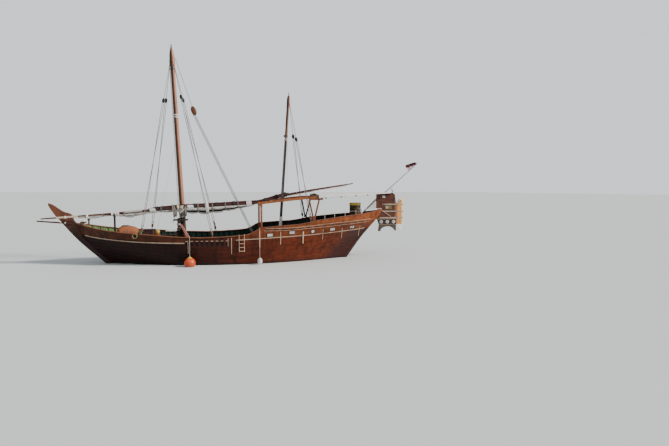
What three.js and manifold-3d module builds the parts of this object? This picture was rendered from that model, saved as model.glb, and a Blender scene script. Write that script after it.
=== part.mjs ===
// Wooden sailing dhow, double-ended, two masts, main yard lowered into its crutches.
// Millimetres. +X aft, +Y starboard, +Z up. Origin: centreline at the waterline, midway between
// the points where the stem and the stern post meet the water.
import * as THREE from 'three';
import { mergeVertices } from 'three/addons/utils/BufferGeometryUtils.js';
import Module from 'manifold-3d';

const wasm = await Module();
wasm.setup();

// Driving dimensions
const GAP = 0.3; // between pieces that touch
const KEEL_TOP = -1600;
const KEEL_BOTTOM = -1900;
const POST_HALF = 100; // half thickness of keel, stem and stern post
const PLANK = 120; // bulwark thickness, planks and frames together
const CAP_HIGH = 60;
const CAP_OVERHANG = 40;
const NOMINAL_Z = 2200; // height at which station places are measured
const BOW_RAKE_REACH = 9000; // stations lean with the stem this far aft of it
const STERN_RAKE_REACH = 8000;
const RAKE_POWER = 1.5;
const POOP_BREAK = 2300; // x of the poop bulkhead's fore side
const FOREDECK_AFT = -6650;
const DECK_THICK = 60;
const DOOR_WIDE = 760;
const DOOR_HIGH = 760;
const DOOR_SILL = 60;
const DOOR_THICK = 50;
const DOOR_CLEAR = 6;
const HINGE_R = 14;
const RUDDER_AXIS_X = 13410;
const MAIN_MAST_FOOT = [-3440, 0];
const MAIN_MAST_RAKE = -0.0456; // metres of x per metre of height
const MAIN_MAST_TOP = 15760;
const MIZZEN_FOOT = [3850, 0];
const MIZZEN_RAKE = 0.0705;
const MIZZEN_TOP = 12700;

// Profiles of the rabbet, where the planking ends on the stem and the stern post: z, x
const STEM_RABBET = [
  [-1600, -6600], [-800, -7750], [0, -8600], [1000, -9680], [2000, -10600], [3200, -11080]];
const STERN_RABBET = [
  [-1600, 7600], [0, 8850], [1000, 9600], [2000, 10450], [3000, 11400], [4000, 11880]];
// Lines along the boat: x, height
const DECK_LINE = [[-11000, 2060], [-8000, 1600], [-5000, 1280], [-2000, 1150], [1000, 1130],
  [4000, 1200], [7000, 1440], [10000, 1880], [11500, 2200]];
const RAIL_LINE = [[-11080, 3050], [-8700, 2560], [-5960, 2310], [-2740, 2070], [-1050, 2070],
  [730, 2170], [1300, 2240], [1550, 2330], [1800, 2470], [2050, 2620], [2300, 2720],
  [3300, 2800], [4400, 2855], [5350, 2940], [5950, 3090], [6450, 3165], [7100, 3240],
  [7800, 3340], [8700, 3440], [9600, 3520], [10400, 3600], [11100, 3690], [11900, 3830]];
const POOP_DECK_LINE = [
  [2300, 2290], [4000, 2400], [6000, 2500], [8000, 2630], [10000, 2810], [11500, 2980]];
const FOREDECK_LINE = [[-11200, 2420], [-8700, 2020], [-6400, 1840]];
const POOP_MOULDING_LINE = [[450, 1820], [2120, 1890], [3670, 1960], [5380, 2030], [6940, 2120],
  [8560, 2230], [10160, 2330], [10900, 2400]];
const BOW_MOULDING_LINE = [[-11100, 2350], [-9960, 2060], [-8210, 1850], [-6970, 1760],
  [-5540, 1690], [-4150, 1660], [-2760, 1640], [-1000, 1620]];
// Half breadth of the widest section: z, y
const MID_SECTION = [[-1600, 160], [-1430, 800], [-1190, 1400], [-860, 1900], [-440, 2300],
  [50, 2560], [600, 2720], [1150, 2820], [2060, 2920], [2800, 2960], [4000, 3000]];
// Fullness of the waterlines, low and high on the hull: power of the ends, power of the whole
const LOW_LINES = { ends: 1.9, whole: 1.5 };
const HIGH_LINES = { ends: 2.6, whole: 0.78 };
const LINES_HEIGHT = 4600; // over which the one turns into the other
const MAIN_LEVELS = 3; // points up each side wall
const POOP_LEVELS = 5;
const SECTION_LEVELS = [0, 0.06, 0.15, 0.27, 0.42, 0.6, 0.8, 1];
// Station places, measured at the nominal height
const MAIN_STATIONS = [-10700, -10450, -10000, -9300, -8400, -7400, FOREDECK_AFT, -4900, -3500,
  -2000, -600, 600, 1050, 1300, 1550, 1800, 2050, 2300];
const POOP_STATIONS = [2300, 3500, 4800, 5400, 6100, 7300, 8300, 9100, 9750, 10200, 10500, 10650];

const group = new THREE.Group();

function smoothLine(table, x) {
  const last = table.length - 1;
  if (x <= table[0][0]) return table[0][1];
  if (x >= table[last][0]) return table[last][1];
  const i = table.findIndex((row, k) => k < last && x < table[k + 1][0]);
  const slope = (a, b) => (table[b][1] - table[a][1]) / (table[b][0] - table[a][0]);
  const before = slope(Math.max(i - 1, 0), i + 1);
  const after = slope(i, Math.min(i + 2, last));
  const span = table[i + 1][0] - table[i][0];
  const t = (x - table[i][0]) / span;
  const t2 = t * t;
  const t3 = t2 * t;
  return (2 * t3 - 3 * t2 + 1) * table[i][1] + (t3 - 2 * t2 + t) * span * before
    + (3 * t2 - 2 * t3) * table[i + 1][1] + (t3 - t2) * span * after;
}

function straightLine(table, x) {
  const last = table.length - 1;
  const i = Math.min(Math.max(table.findIndex((row) => x < row[0]) - 1, 0), last - 1);
  const k = x >= table[last][0] ? last - 1 : i;
  const t = (x - table[k][0]) / (table[k + 1][0] - table[k][0]);
  return table[k][1] + t * (table[k + 1][1] - table[k][1]);
}

const stemX = (z) => straightLine(STEM_RABBET, z);
const sternX = (z) => straightLine(STERN_RABBET, z);
const deckZ = (x) => smoothLine(DECK_LINE, x);
const railZ = (x) => smoothLine(RAIL_LINE, x);
const poopZ = (x) => smoothLine(POOP_DECK_LINE, x);
const foredeckZ = (x) => smoothLine(FOREDECK_LINE, x);

// Place of a station line at height z: upright amidships, raked with the posts at the ends
function stationX(place, z) {
  const bow = Math.max(0, 1 - (place - stemX(NOMINAL_Z)) / BOW_RAKE_REACH) ** RAKE_POWER;
  const stern = Math.max(0, 1 - (sternX(NOMINAL_Z) - place) / STERN_RAKE_REACH) ** RAKE_POWER;
  return place + Math.min(bow, 1) * (stemX(z) - stemX(NOMINAL_Z))
    + Math.min(stern, 1) * (sternX(z) - sternX(NOMINAL_Z));
}

function halfBreadth(x, z) {
  const along = THREE.MathUtils.clamp((x - stemX(z)) / (sternX(z) - stemX(z)), 0, 1);
  const rise = THREE.MathUtils.clamp((z - KEEL_TOP) / LINES_HEIGHT, 0, 1);
  const ends = THREE.MathUtils.lerp(LOW_LINES.ends, HIGH_LINES.ends, rise);
  const whole = THREE.MathUtils.lerp(LOW_LINES.whole, HIGH_LINES.whole, rise);
  const share = (1 - Math.abs(2 * along - 1) ** ends) ** whole;
  return POST_HALF + (smoothLine(MID_SECTION, z) - POST_HALF) * share;
}

// Height at which a station line meets a line along the boat
function heightOn(place, lineZ) {
  let z = NOMINAL_Z;
  for (let k = 0; k < 12; k++) z = lineZ(stationX(place, z));
  return z;
}

const clampPlace = (place) => THREE.MathUtils.clamp(place, stemX(NOMINAL_Z), sternX(NOMINAL_Z));

// Closed solids
function geometryOf(points, faces) {
  let volume = 0;
  for (const [a, b, c] of faces) {
    const [p, q, r] = [points[a], points[b], points[c]];
    volume += p[0] * (q[1] * r[2] - q[2] * r[1]) - p[1] * (q[0] * r[2] - q[2] * r[0])
      + p[2] * (q[0] * r[1] - q[1] * r[0]);
  }
  const index = faces.flatMap(([a, b, c]) => (volume > 0 ? [a, b, c] : [a, c, b]));
  const geometry = new THREE.BufferGeometry();
  geometry.setAttribute('position', new THREE.Float32BufferAttribute(points.flat(), 3));
  geometry.setIndex(index);
  return geometry;
}

function loft(rings) {
  const n = rings[0].length;
  const points = rings.flat();
  const faces = [];
  for (let i = 0; i + 1 < rings.length; i++) {
    for (let j = 0; j < n; j++) {
      const k = (j + 1) % n;
      const [here, there] = [i * n, (i + 1) * n];
      faces.push([here + j, here + k, there + k], [here + j, there + k, there + j]);
    }
  }
  // End caps as a ladder between the first half of the ring and the second
  const top = (rings.length - 1) * n;
  for (let j = 0; j < n / 2 - 1; j++) {
    const [k, across, next] = [j + 1, n - 1 - j, n - 2 - j];
    faces.push([j, across, next], [j, next, k]);
    faces.push([top + j, top + k, top + next], [top + j, top + next, top + across]);
  }
  return geometryOf(points, faces);
}

function box(x0, x1, y0, y1, z0, z1) {
  const geometry = new THREE.BoxGeometry(x1 - x0, y1 - y0, z1 - z0);
  geometry.translate((x0 + x1) / 2, (y0 + y1) / 2, (z0 + z1) / 2);
  return geometry;
}

// A flat plate whose outline is given in the centre plane: x, z
function plate(outline, halfThick, middleY = 0, holes = []) {
  const shape = new THREE.Shape(outline.map(([x, z]) => new THREE.Vector2(x, z)));
  for (const hole of holes) shape.holes.push(hole);
  const geometry = new THREE.ExtrudeGeometry(shape, { depth: 2 * halfThick, bevelEnabled: false });
  geometry.rotateX(Math.PI / 2);
  geometry.translate(0, middleY + halfThick, 0);
  return geometry;
}

// A round bar through points, with a radius at each
function bar(path, radii, sides = 8) {
  const at = path.map((p) => new THREE.Vector3(...p));
  const rings = at.map((p, i) => {
    const along = at[Math.min(i + 1, at.length - 1)].clone().sub(at[Math.max(i - 1, 0)]).normalize();
    const side = Math.abs(along.y) > 0.9 ? new THREE.Vector3(1, 0, 0) : new THREE.Vector3(0, 1, 0);
    const across = side.clone().cross(along).normalize();
    const up = along.clone().cross(across);
    const r = Array.isArray(radii) ? radii[i] : radii;
    return Array.from({ length: sides }, (unused, k) => {
      const a = (2 * Math.PI * (k + 0.5)) / sides;
      const q = p.clone().addScaledVector(across, r * Math.cos(a)).addScaledVector(up, r * Math.sin(a));
      return [q.x, q.y, q.z];
    });
  });
  return loft(rings);
}

// A standing pole with level ends: rows of x, y, z, radius
function pole(rows, sides = 12) {
  return loft(rows.map(([x, y, z, r]) => Array.from({ length: sides }, (unused, k) => {
    const a = (2 * Math.PI * (k + 0.5)) / sides;
    return [x + r * Math.cos(a), y + r * Math.sin(a), z];
  })));
}

function upright(x, y, z0, z1, r, sides = 12) {
  return bar([[x, y, z0], [x, y, z1]], r, sides);
}

// A squared timber between two points: width across, depth in the upright plane
function timber(a, b, width, depth) {
  const from = new THREE.Vector3(...a);
  const to = new THREE.Vector3(...b);
  const along = to.clone().sub(from).normalize();
  const reference = Math.abs(along.z) > 0.999 ? new THREE.Vector3(1, 0, 0) : new THREE.Vector3(0, 0, 1);
  const across = reference.clone().cross(along).normalize();
  const up = along.clone().cross(across);
  const corner = [[-1, -1], [1, -1], [1, 1], [-1, 1]];
  const ring = (p) => corner.map(([i, j]) => {
    const q = p.clone().addScaledVector(across, (i * width) / 2).addScaledVector(up, (j * depth) / 2);
    return [q.x, q.y, q.z];
  });
  return loft([ring(from), ring(to)]);
}

function toSolid(geometry) {
  const bare = geometry.clone();
  bare.deleteAttribute('normal');
  bare.deleteAttribute('uv');
  const merged = mergeVertices(bare, 0.001);
  return new wasm.Manifold(new wasm.Mesh({
    numProp: 3,
    vertProperties: new Float32Array(merged.attributes.position.array),
    triVerts: new Uint32Array(merged.index.array),
  }));
}

function toGeometry(solid) {
  const mesh = solid.getMesh();
  const geometry = new THREE.BufferGeometry();
  geometry.setAttribute('position', new THREE.BufferAttribute(new Float32Array(mesh.vertProperties), 3));
  geometry.setIndex(new THREE.BufferAttribute(new Uint32Array(mesh.triVerts), 1));
  return geometry;
}

const join = (...pieces) => toGeometry(pieces.map(toSolid).reduce((a, b) => a.add(b)));
const cut = (piece, ...tools) => {
  const solids = tools.map(toSolid);
  return toGeometry(solids.reduce((rest, tool) => rest.subtract(tool), toSolid(piece)));
};

const finish = (color, roughness = 0.6, metalness = 0) => (
  new THREE.MeshStandardMaterial({ color, roughness, metalness }));
const DARK_PLANKS = finish(0x3a2018, 0.5);
const RED_PLANKS = finish(0x7a3c20, 0.45);
const ORANGE_WOOD = finish(0xa85a28, 0.45);
const MAST_WOOD = finish(0x8a4a28, 0.5);
const DARK_WOOD = finish(0x2c1a16, 0.55);
const DECK_WOOD = finish(0x9a7a58, 0.7);
const CANVAS = finish(0xc8c8c8, 0.85);
const ROPE = finish(0xc9bfa8, 0.9);

function add(name, geometry, material) {
  const mesh = new THREE.Mesh(geometry, material);
  mesh.name = name;
  group.add(mesh);
}

const SIDES = [['port', -1], ['starboard', 1]];

// Hull below the deck
const stations = [...MAIN_STATIONS, ...POOP_STATIONS.slice(1)].map(clampPlace);
const hullLevels = (place) => {
  const top = heightOn(place, deckZ);
  return SECTION_LEVELS.map((level) => KEEL_TOP + (top - KEEL_TOP) * level);
};
const hullRing = (place) => {
  const side = hullLevels(place).map((z) => [stationX(place, z), halfBreadth(stationX(place, z), z), z]);
  return [...side, ...side.slice().reverse().map(([x, y, z]) => [x, -y, z])];
};
add('hull', loft(stations.map(hullRing)), DARK_PLANKS);

// Decks and rails run straight from station to station, so what stands on them is placed from this
const runOf = (places, lineZ) => places.map((place) => {
  const z = heightOn(place, lineZ);
  return [stationX(place, z), z];
});
const highest = (run, from, to) => Math.max(straightLine(run, from), straightLine(run, to),
  ...run.filter(([x]) => x > from && x < to).map(([, z]) => z));
const deckRun = runOf(stations, deckZ);
const railRun = runOf(stations, railZ);
const poopPlaces = POOP_STATIONS.slice(0, -2);
const poopRun = runOf(poopPlaces, poopZ);
const foredeckPlaces = [-10450, -10000, -9300, -8400, -7400, FOREDECK_AFT];
const foredeckRun = runOf(foredeckPlaces, foredeckZ);

// Side walls above the deck: rings of outer and inner points at a few heights
function wallLevels(place, count) {
  const bottom = heightOn(place, deckZ) + GAP;
  const top = heightOn(place, railZ) - CAP_HIGH - 2 * GAP;
  return Array.from({ length: count }, (unused, k) => bottom + ((top - bottom) * k) / (count - 1));
}

const innerY = (x, z, thick = PLANK) => Math.max(halfBreadth(x, z) - thick, 3.5);

function wallRing(place, count, hand, grown = 0) {
  const outer = wallLevels(place, count).map((z) => {
    const x = stationX(place, z);
    return [x, hand * (halfBreadth(x, z) + grown), z];
  });
  const inner = outer.map(([x, y, z]) => [x, hand * innerY(x, z), z]).reverse();
  return [...outer, ...inner];
}

function capRing(place, hand) {
  const top = heightOn(place, railZ);
  const bottom = top - CAP_HIGH;
  const x = (z) => stationX(place, z);
  const outer = (z) => [x(z), hand * (halfBreadth(x(z), z) + CAP_OVERHANG), z];
  const inner = (z) => [x(z), hand * innerY(x(z), z, PLANK + CAP_OVERHANG), z];
  return [outer(bottom), outer(top), inner(top), inner(bottom)];
}

const main = MAIN_STATIONS.map(clampPlace);
for (const [side, hand] of SIDES) {
  const poop = POOP_STATIONS.map(clampPlace);
  poop[0] += GAP;
  add(`bulwark_${side}`, loft(main.map((place) => wallRing(place, MAIN_LEVELS, hand))), DARK_PLANKS);
  add(`poop_side_${side}`, loft(poop.map((place) => wallRing(place, POOP_LEVELS, hand))), RED_PLANKS);
  add(`cap_rail_${side}`, loft(stations.map((place) => capRing(place, hand))), ORANGE_WOOD);
}

// Mouldings along the outside, standing proud of the planking and cut to the walls behind them
const MOULDING_BURIED = 20;
const POOP_MOULDING = { line: POOP_MOULDING_LINE, from: 450, to: 10600, steps: 22, high: 70, proud: 50 };
const BOW_MOULDING = { line: BOW_MOULDING_LINE, from: -10350, to: -3150, steps: 18, high: 80, proud: 55 };

function moulding({ line, from, to, steps, high, proud }, hand) {
  const rings = [];
  for (let k = 0; k <= steps; k++) {
    const x = from + ((to - from) * k) / steps;
    const middle = smoothLine(line, x);
    const [low, top] = [middle - high / 2, middle + high / 2];
    const y = (level, out) => hand * (halfBreadth(x, level) + out);
    rings.push([[x, y(low, -MOULDING_BURIED), low], [x, y(low, proud), low],
      [x, y(top, proud), top], [x, y(top, -MOULDING_BURIED), top]]);
  }
  return loft(rings);
}

const poopWhole = POOP_STATIONS.map(clampPlace);
for (const [side, hand] of SIDES) {
  const walls = [
    loft(main.map((place) => wallRing(place, MAIN_LEVELS, hand, GAP))),
    loft(poopWhole.map((place) => wallRing(place, POOP_LEVELS, hand, GAP)))];
  add(`poop_moulding_${side}`, cut(moulding(POOP_MOULDING, hand), ...walls), ORANGE_WOOD);
  add(`bow_moulding_${side}`, cut(moulding(BOW_MOULDING, hand), walls[0]), ORANGE_WOOD);
}

// Keel, stem and stern post
const hullEnd = (place) => hullLevels(place).map((z) => [stationX(place, z), z]);
const wallEnd = (place, count) => wallLevels(place, count).map((z) => [stationX(place, z), z]);
const capEnd = (place) => {
  const top = heightOn(place, railZ);
  return [top - CAP_HIGH, top].map((z) => [stationX(place, z), z]);
};
const bowPlace = clampPlace(-1e6);
const sternPlace = clampPlace(1e6);
const aftOf = (points, shift) => points.map(([x, z]) => [x + shift, z]);
const postBack = (place, levels) => [...hullEnd(place), ...wallEnd(place, levels), ...capEnd(place)];
const stemBack = aftOf(postBack(bowPlace, MAIN_LEVELS), -GAP);
const stemFace = [[-11150, 3200], [-11230, 3460], [-11270, 3610], [-11430, 3730], [-11870, 3850],
  [-12170, 4070], [-12510, 4340], [-12840, 4480], [-12850, 4330], [-12630, 3920], [-12340, 3480],
  [-12070, 3210], [-11810, 2840], [-11350, 2270], [-10570, 1390], [-9030, 0], [-8150, -850],
  [-7600, -1400], [-7150, -1750], [-6900, KEEL_BOTTOM], [-6600 - GAP, KEEL_BOTTOM]];
add('stem_post', plate([...stemBack, ...stemFace], POST_HALF), ORANGE_WOOD);
const STERN_TOP = 3900;
const sternBack = [[7600 + GAP, KEEL_BOTTOM], [7850, KEEL_BOTTOM], [7950, -1750], [9180, 0],
  [10300, 1560], [11000, 2350], [11650, 3050], [12150, 3800], [12150, STERN_TOP]];
const sternFront = aftOf(postBack(sternPlace, POOP_LEVELS), GAP).reverse();
const sternOutline = [...sternBack, [sternFront[0][0], STERN_TOP], ...sternFront];
add('stern_post', plate(sternOutline, POST_HALF), RED_PLANKS);
const KEEL_ENDS = [-6600 + GAP, 7600 - GAP];
add('keel', box(...KEEL_ENDS, -POST_HALF, POST_HALF, KEEL_BOTTOM, KEEL_TOP - GAP), DARK_PLANKS);

// Decks
function deckRing(place, lineZ, thick, margin, levels) {
  const top = heightOn(place, lineZ);
  const inside = wallLevels(place, levels).map((z) => [z, innerY(stationX(place, z), z)]);
  const y = (z) => straightLine(inside, z) - margin;
  const point = (z, hand) => [stationX(place, z), hand * y(z), z];
  return [point(top, -1), point(top, 1), point(top - thick, 1), point(top - thick, -1)];
}
const DECK_MARGIN = 40;
const deckSlab = (places, lineZ, levels) => (
  loft(places.map((place) => deckRing(place, lineZ, DECK_THICK, DECK_MARGIN, levels))));
add('poop_deck', deckSlab(poopPlaces, poopZ, POOP_LEVELS), DECK_WOOD);
const foredeckSlab = deckSlab(foredeckPlaces, foredeckZ, MAIN_LEVELS);
const foredeckEdge = stationX(FOREDECK_AFT, foredeckZ(FOREDECK_AFT));
const frontFoot = highest(deckRun, foredeckEdge - 70, foredeckEdge) + GAP;
const frontHalf = innerY(foredeckEdge - 70, frontFoot) - 50;
const foredeckFront = box(foredeckEdge - 70, foredeckEdge - 2, -frontHalf, frontHalf,
  frontFoot, foredeckZ(foredeckEdge) - 10);
add('foredeck', join(foredeckSlab, foredeckFront), DECK_WOOD);

// Poop bulkhead with its doorway, and the cuddy door that opens forward
const bulkheadFront = POOP_BREAK + 10;
const bulkheadBack = POOP_BREAK + 90;
const bulkheadTop = poopRun[0][1] - DECK_THICK - GAP;
const bulkheadFoot = highest(deckRun, bulkheadFront, bulkheadBack) + GAP;
const bulkheadHalf = innerY(POOP_BREAK, bulkheadFoot) - 15;
const bulkheadPlate = box(
  bulkheadFront, bulkheadBack, -bulkheadHalf, bulkheadHalf, bulkheadFoot, bulkheadTop);
const doorFoot = bulkheadFoot + DOOR_SILL;
const doorHalf = DOOR_WIDE / 2;
const doorway = box(
  bulkheadFront - 5, bulkheadBack + 5, -doorHalf, doorHalf, doorFoot, doorFoot + DOOR_HIGH);
const doorAxis = [bulkheadFront - 18, doorHalf + 4];
const HINGE_HEIGHTS = [doorFoot + 150, doorFoot + DOOR_HIGH - 210];
const HINGE_LONG = 60;
const frameHinges = HINGE_HEIGHTS.flatMap((z) => [
  upright(...doorAxis, z - HINGE_LONG - GAP, z - GAP, HINGE_R, 8),
  box(doorAxis[0] - 5, bulkheadFront + 2, doorAxis[1], doorAxis[1] + 70,
    z - HINGE_LONG - GAP, z - GAP)]);
const leafHinges = HINGE_HEIGHTS.flatMap((z) => [
  upright(...doorAxis, z, z + HINGE_LONG, HINGE_R, 8),
  box(doorAxis[0] - 5, doorAxis[0] + 5, doorAxis[1] - 190, doorAxis[1], z, z + HINGE_LONG),
  box(doorAxis[0] - 5, bulkheadFront + 2, doorAxis[1] - 190, doorHalf - DOOR_CLEAR, z, z + HINGE_LONG)]);
add('poop_bulkhead', join(cut(bulkheadPlate, doorway), ...frameHinges), RED_PLANKS);
const leaf = box(bulkheadFront, bulkheadFront + DOOR_THICK, -doorHalf + DOOR_CLEAR,
  doorHalf - DOOR_CLEAR, doorFoot + DOOR_CLEAR, doorFoot + DOOR_HIGH - DOOR_CLEAR);
add('cuddy_door', join(leaf, ...leafHinges), ORANGE_WOOD);

// Masts
const mainMastX = (z) => MAIN_MAST_FOOT[0] + MAIN_MAST_RAKE * (z - 1780);
const mizzenX = (z) => MIZZEN_FOOT[0] + MIZZEN_RAKE * (z - 2300);
const mastFoot = highest(deckRun, mainMastX(1200) - 210, mainMastX(1200) + 210) + GAP;
const MAIN_MAST = [
  [mastFoot, 205], [4000, 195], [9000, 175], [14000, 152], [14450, 152], [14850, 190], [15300, 188],
  [MAIN_MAST_TOP, 105]];
add('main_mast', join(
  pole(MAIN_MAST.map(([z, r]) => [mainMastX(z), 0, z, r]), 16),
  bar([MAIN_MAST_TOP - 60, 16200].map((z) => [mainMastX(z), 0, z]), 35, 8)), MAST_WOOD);
const mizzenFoot = highest(poopRun, mizzenX(2400) - 111, mizzenX(2400) + 111) + GAP;
const MIZZEN_MAST = [
  [mizzenFoot, 110], [5000, 110], [9000, 107], [12000, 103], [12250, 116], [12500, 112], [MIZZEN_TOP, 88]];
add('mizzen_mast', join(
  pole(MIZZEN_MAST.map(([z, r]) => [mizzenX(z), 0, z, r]), 12),
  bar([MIZZEN_TOP - 40, 12950].map((z) => [mizzenX(z), 0, z]), 28, 8)), MAST_WOOD);

// Main yard in its crutches, and the sail furled under it
// Columns: x, y, z, yard radius, sail depth, sail width
const YARD = [
  [-12980, -1178, 3405, 42, 0, 0], [-11800, -1075, 3475, 60, 0, 0], [-10600, -970, 3550, 72, 70, 90],
  [-9600, -880, 3612, 80, 150, 160], [-8900, -820, 3660, 86, 90, 130], [-8200, -758, 3712, 91, 50, 110],
  [-7700, -712, 3757, 93, 190, 195], [-7100, -660, 3810, 96, 300, 250], [-6300, -590, 3880, 98, 180, 200],
  [-5400, -510, 3965, 100, 130, 170], [-4400, -480, 4060, 102, 200, 180],
  [-3630, -470, 4140, 103, 260, 190], [-2900, -450, 4175, 102, 420, 260],
  [-1900, -330, 4220, 100, 520, 300], [-900, -200, 4270, 99, 480, 300],
  [100, -60, 4320, 98, 380, 260], [1100, 60, 4375, 97, 210, 200], [1900, 140, 4420, 96, 60, 110],
  [2300, 180, 4460, 95, 0, 0], [4020, 330, 4950, 88, 0, 0], [6240, 520, 5380, 74, 0, 0],
  [9900, 820, 5950, 42, 0, 0]];
add('main_yard', bar(YARD.map(([x, y, z]) => [x, y, z]), YARD.map((row) => row[3]), 10), DARK_WOOD);
const SAIL_SIDES = 10;
const SAIL_LIFT = 2.8; // the yard's facets leave this much room under it
const sailRows = YARD.filter((row) => row[4] > 0);
add('furled_sail', loft(sailRows.map(([x, y, z, r, deep, wide]) => {
  const middle = z - r + SAIL_LIFT - deep / 2;
  return Array.from({ length: SAIL_SIDES }, (unused, k) => {
    const a = (2 * Math.PI * k) / SAIL_SIDES;
    return [x, y + (wide / 2) * Math.sin(a), middle + (deep / 2) * Math.cos(a)];
  });
})), CANVAS);

// Fore crutch: a post with a forked head that takes the yard and the sail
const [crutchX, crutchY, yardZ, yardR, sailDeep] = YARD.find((row) => row[0] === -8200);
const CRUTCH_HALF = 60;
const FORK_CLEAR = 12;
const FORK_THICK = 40;
const FORK_HIGH = 170;
const SEAT_CLEAR = 9.2; // the sail's sides bulge this far below its middle line between two rows
const crutchSeat = yardZ - yardR - sailDeep - SEAT_CLEAR;
const crutchFoot = highest(foredeckRun, crutchX - CRUTCH_HALF, crutchX + CRUTCH_HALF) + GAP;
const forkY = yardR + FORK_CLEAR;
const crutchBox = (y0, y1, z0, z1) => box(crutchX - CRUTCH_HALF, crutchX + CRUTCH_HALF,
  crutchY + y0, crutchY + y1, crutchSeat + z0, crutchSeat + z1);
add('fore_crutch', join(
  crutchBox(-CRUTCH_HALF, CRUTCH_HALF, crutchFoot - crutchSeat, -FORK_THICK),
  crutchBox(-forkY - FORK_THICK, forkY + FORK_THICK, -110, 0),
  crutchBox(-forkY - FORK_THICK, -forkY, -20, FORK_HIGH),
  crutchBox(forkY, forkY + FORK_THICK, -20, FORK_HIGH)), MAST_WOOD);

// Awning frame
const AWNING_Y = 2300;
const foreBeamTop = 4361;
const foreBeamX = 2300;
const BEAM = 160;
const foreBeamHalf = AWNING_Y + 220;
add('awning_fore_beam', box(foreBeamX - BEAM / 2, foreBeamX + BEAM / 2, -foreBeamHalf, foreBeamHalf,
  foreBeamTop - BEAM, foreBeamTop), ORANGE_WOOD);
const SIDE_BEAM = [[2030, 4428.3], [3750, 4640], [5810, 4850], [6900, 4860]];
for (const [side, hand] of SIDES) {
  const y = hand * AWNING_Y;
  add(`awning_post_${side}`, box(foreBeamX - 70, foreBeamX + 70, y - 75, y + 75,
    highest(poopRun, foreBeamX - 70, foreBeamX + 70) + GAP, foreBeamTop - BEAM - GAP), ORANGE_WOOD);
  const lower = SIDE_BEAM.map(([x, z]) => [x, z - 90]);
  const upper = SIDE_BEAM.map(([x, z]) => [x, z + 90]).reverse();
  add(`awning_side_beam_${side}`, plate([...lower, ...upper], 80, y), ORANGE_WOOD);
  const foot = highest(railRun, 6050, 6320) + GAP;
  const footY = hand * (halfBreadth(6180, foot) - 60);
  add(`awning_bracket_${side}`, join(
    box(6050, 6320, footY - 60, footY + 60, foot, foot + 90),
    timber([6150, footY, foot + 40], [5850, y, 4700], 110, 110),
    timber([6210, footY, foot + 40], [6600, y, 4700], 110, 110),
    timber([5830, y, 4714.9], [6880, y, 4724.5], 130, 90)), ORANGE_WOOD);
}

// Awning: aft beam, ridge pole and canvas with a hanging edge, running aft to the stern board
const BOARD_TOP = 5100;
const AFT_BEAM_X = [6560, 6680];
const AFT_BEAM_Z = [4948.3, 5040];
const AFT_BEAM_HALF = 2448;
const RIDGE_R = 50;
const OCTAGON_FLAT = Math.cos(Math.PI / 8);
const RIDGE_POLE = [[6500, 5100], [13000, BOARD_TOP + 59]];
const CANVAS_THICK = 24;
const CANVAS_CLEAR = 8;
const ridgeZ = (x) => straightLine(RIDGE_POLE, x) + RIDGE_R * OCTAGON_FLAT + CANVAS_CLEAR;
add('awning_aft_beam', box(...AFT_BEAM_X, -AFT_BEAM_HALF, AFT_BEAM_HALF, ...AFT_BEAM_Z), ORANGE_WOOD);
add('awning_ridge_pole', bar(RIDGE_POLE.map(([x, z]) => [x, 0, z]), RIDGE_R, 8), MAST_WOOD);
// Columns: x, half width, height of the shoulder, height of the hanging edge
const AWNING = [
  [6560, 2450, 5040.3, 4800], [6690, 2450, 5040.3, 4806], [7850, 2330, 5050, 4885],
  [9000, 2130, 5070, 4970], [10100, 1830, 5095, 5040], [11000, 1470, 5120, 5080],
  [12000, 920, 5160, 5125], [12750, 430, 5195, 5165], [13150, 170, 5222, 5195]];
const SLOPE_STEPS = [-0.6, -0.3, 0, 0.3, 0.6];
add('awning_canvas', loft(AWNING.map(([x, half, shoulder, edge]) => {
  const slope = SLOPE_STEPS.map((t) => [t * half, shoulder + (ridgeZ(x) - shoulder) * (1 - Math.abs(t))]);
  const under = [[-half, edge], [-half, shoulder], ...slope, [half, shoulder], [half, edge]];
  const out = half + CANVAS_THICK;
  const raised = slope.map(([y, z]) => [y, z + CANVAS_THICK]);
  const top = shoulder + CANVAS_THICK;
  const over = [[-out, edge], [-out, top], ...raised, [out, top], [out, edge]];
  return [...over, ...under.reverse()].map(([y, z]) => [x, y, z]);
})), CANVAS);

// Stern board with its strap halves, and the rudder that hangs on them
const BOARD_HALF = 60;
const BOARD_AFT = RUDDER_AXIS_X - 55;
const RUDDER_FORE = RUDDER_AXIS_X + 55;
const RUDDER_HALF = 55;
const STRAP_HEIGHTS = [3110, 3640, 4210];
const STRAP_HIGH = 90;
const STRAP_PROUD = 16;
const KNUCKLE_R = 42;
const PIN_CLEAR = 0.5;
const boardOutline = [[11670, 3930], [11670, BOARD_TOP], [BOARD_AFT - 140, BOARD_TOP + 10],
  [BOARD_AFT, 4300], [BOARD_AFT, 2150], [BOARD_AFT - 60, 2060], [BOARD_AFT - 170, 2200],
  [BOARD_AFT - 400, 2400], [12650, 2450],
  [12300, 2400], [12080, 2250], [12020, 2060], [11820, 2060], [11900, 2600], [11740, 3020], [11651, 3050],
  [12151, 3800], [12151, 3930]];
const boardStrap = (z) => [
  box(11900, BOARD_AFT - 2, -BOARD_HALF - STRAP_PROUD, BOARD_HALF + STRAP_PROUD, z, z + STRAP_HIGH),
  box(BOARD_AFT - 40, RUDDER_AXIS_X, -22, 22, z, z + STRAP_HIGH / 2 - PIN_CLEAR),
  upright(RUDDER_AXIS_X, 0, z, z + STRAP_HIGH / 2 - PIN_CLEAR, KNUCKLE_R, 12)];
const boardPlate = plate(boardOutline, BOARD_HALF);
const SLOT_CLEAR = 1;
const slotBack = aftOf(sternBack.slice(3), SLOT_CLEAR);
const boardSlot = plate([...slotBack, [12151, 3929], [11600, 3929], [9000, 0]], BOARD_HALF + 40);
add('stern_board', cut(join(boardPlate, ...STRAP_HEIGHTS.flatMap(boardStrap)), boardSlot), RED_PLANKS);
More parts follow.
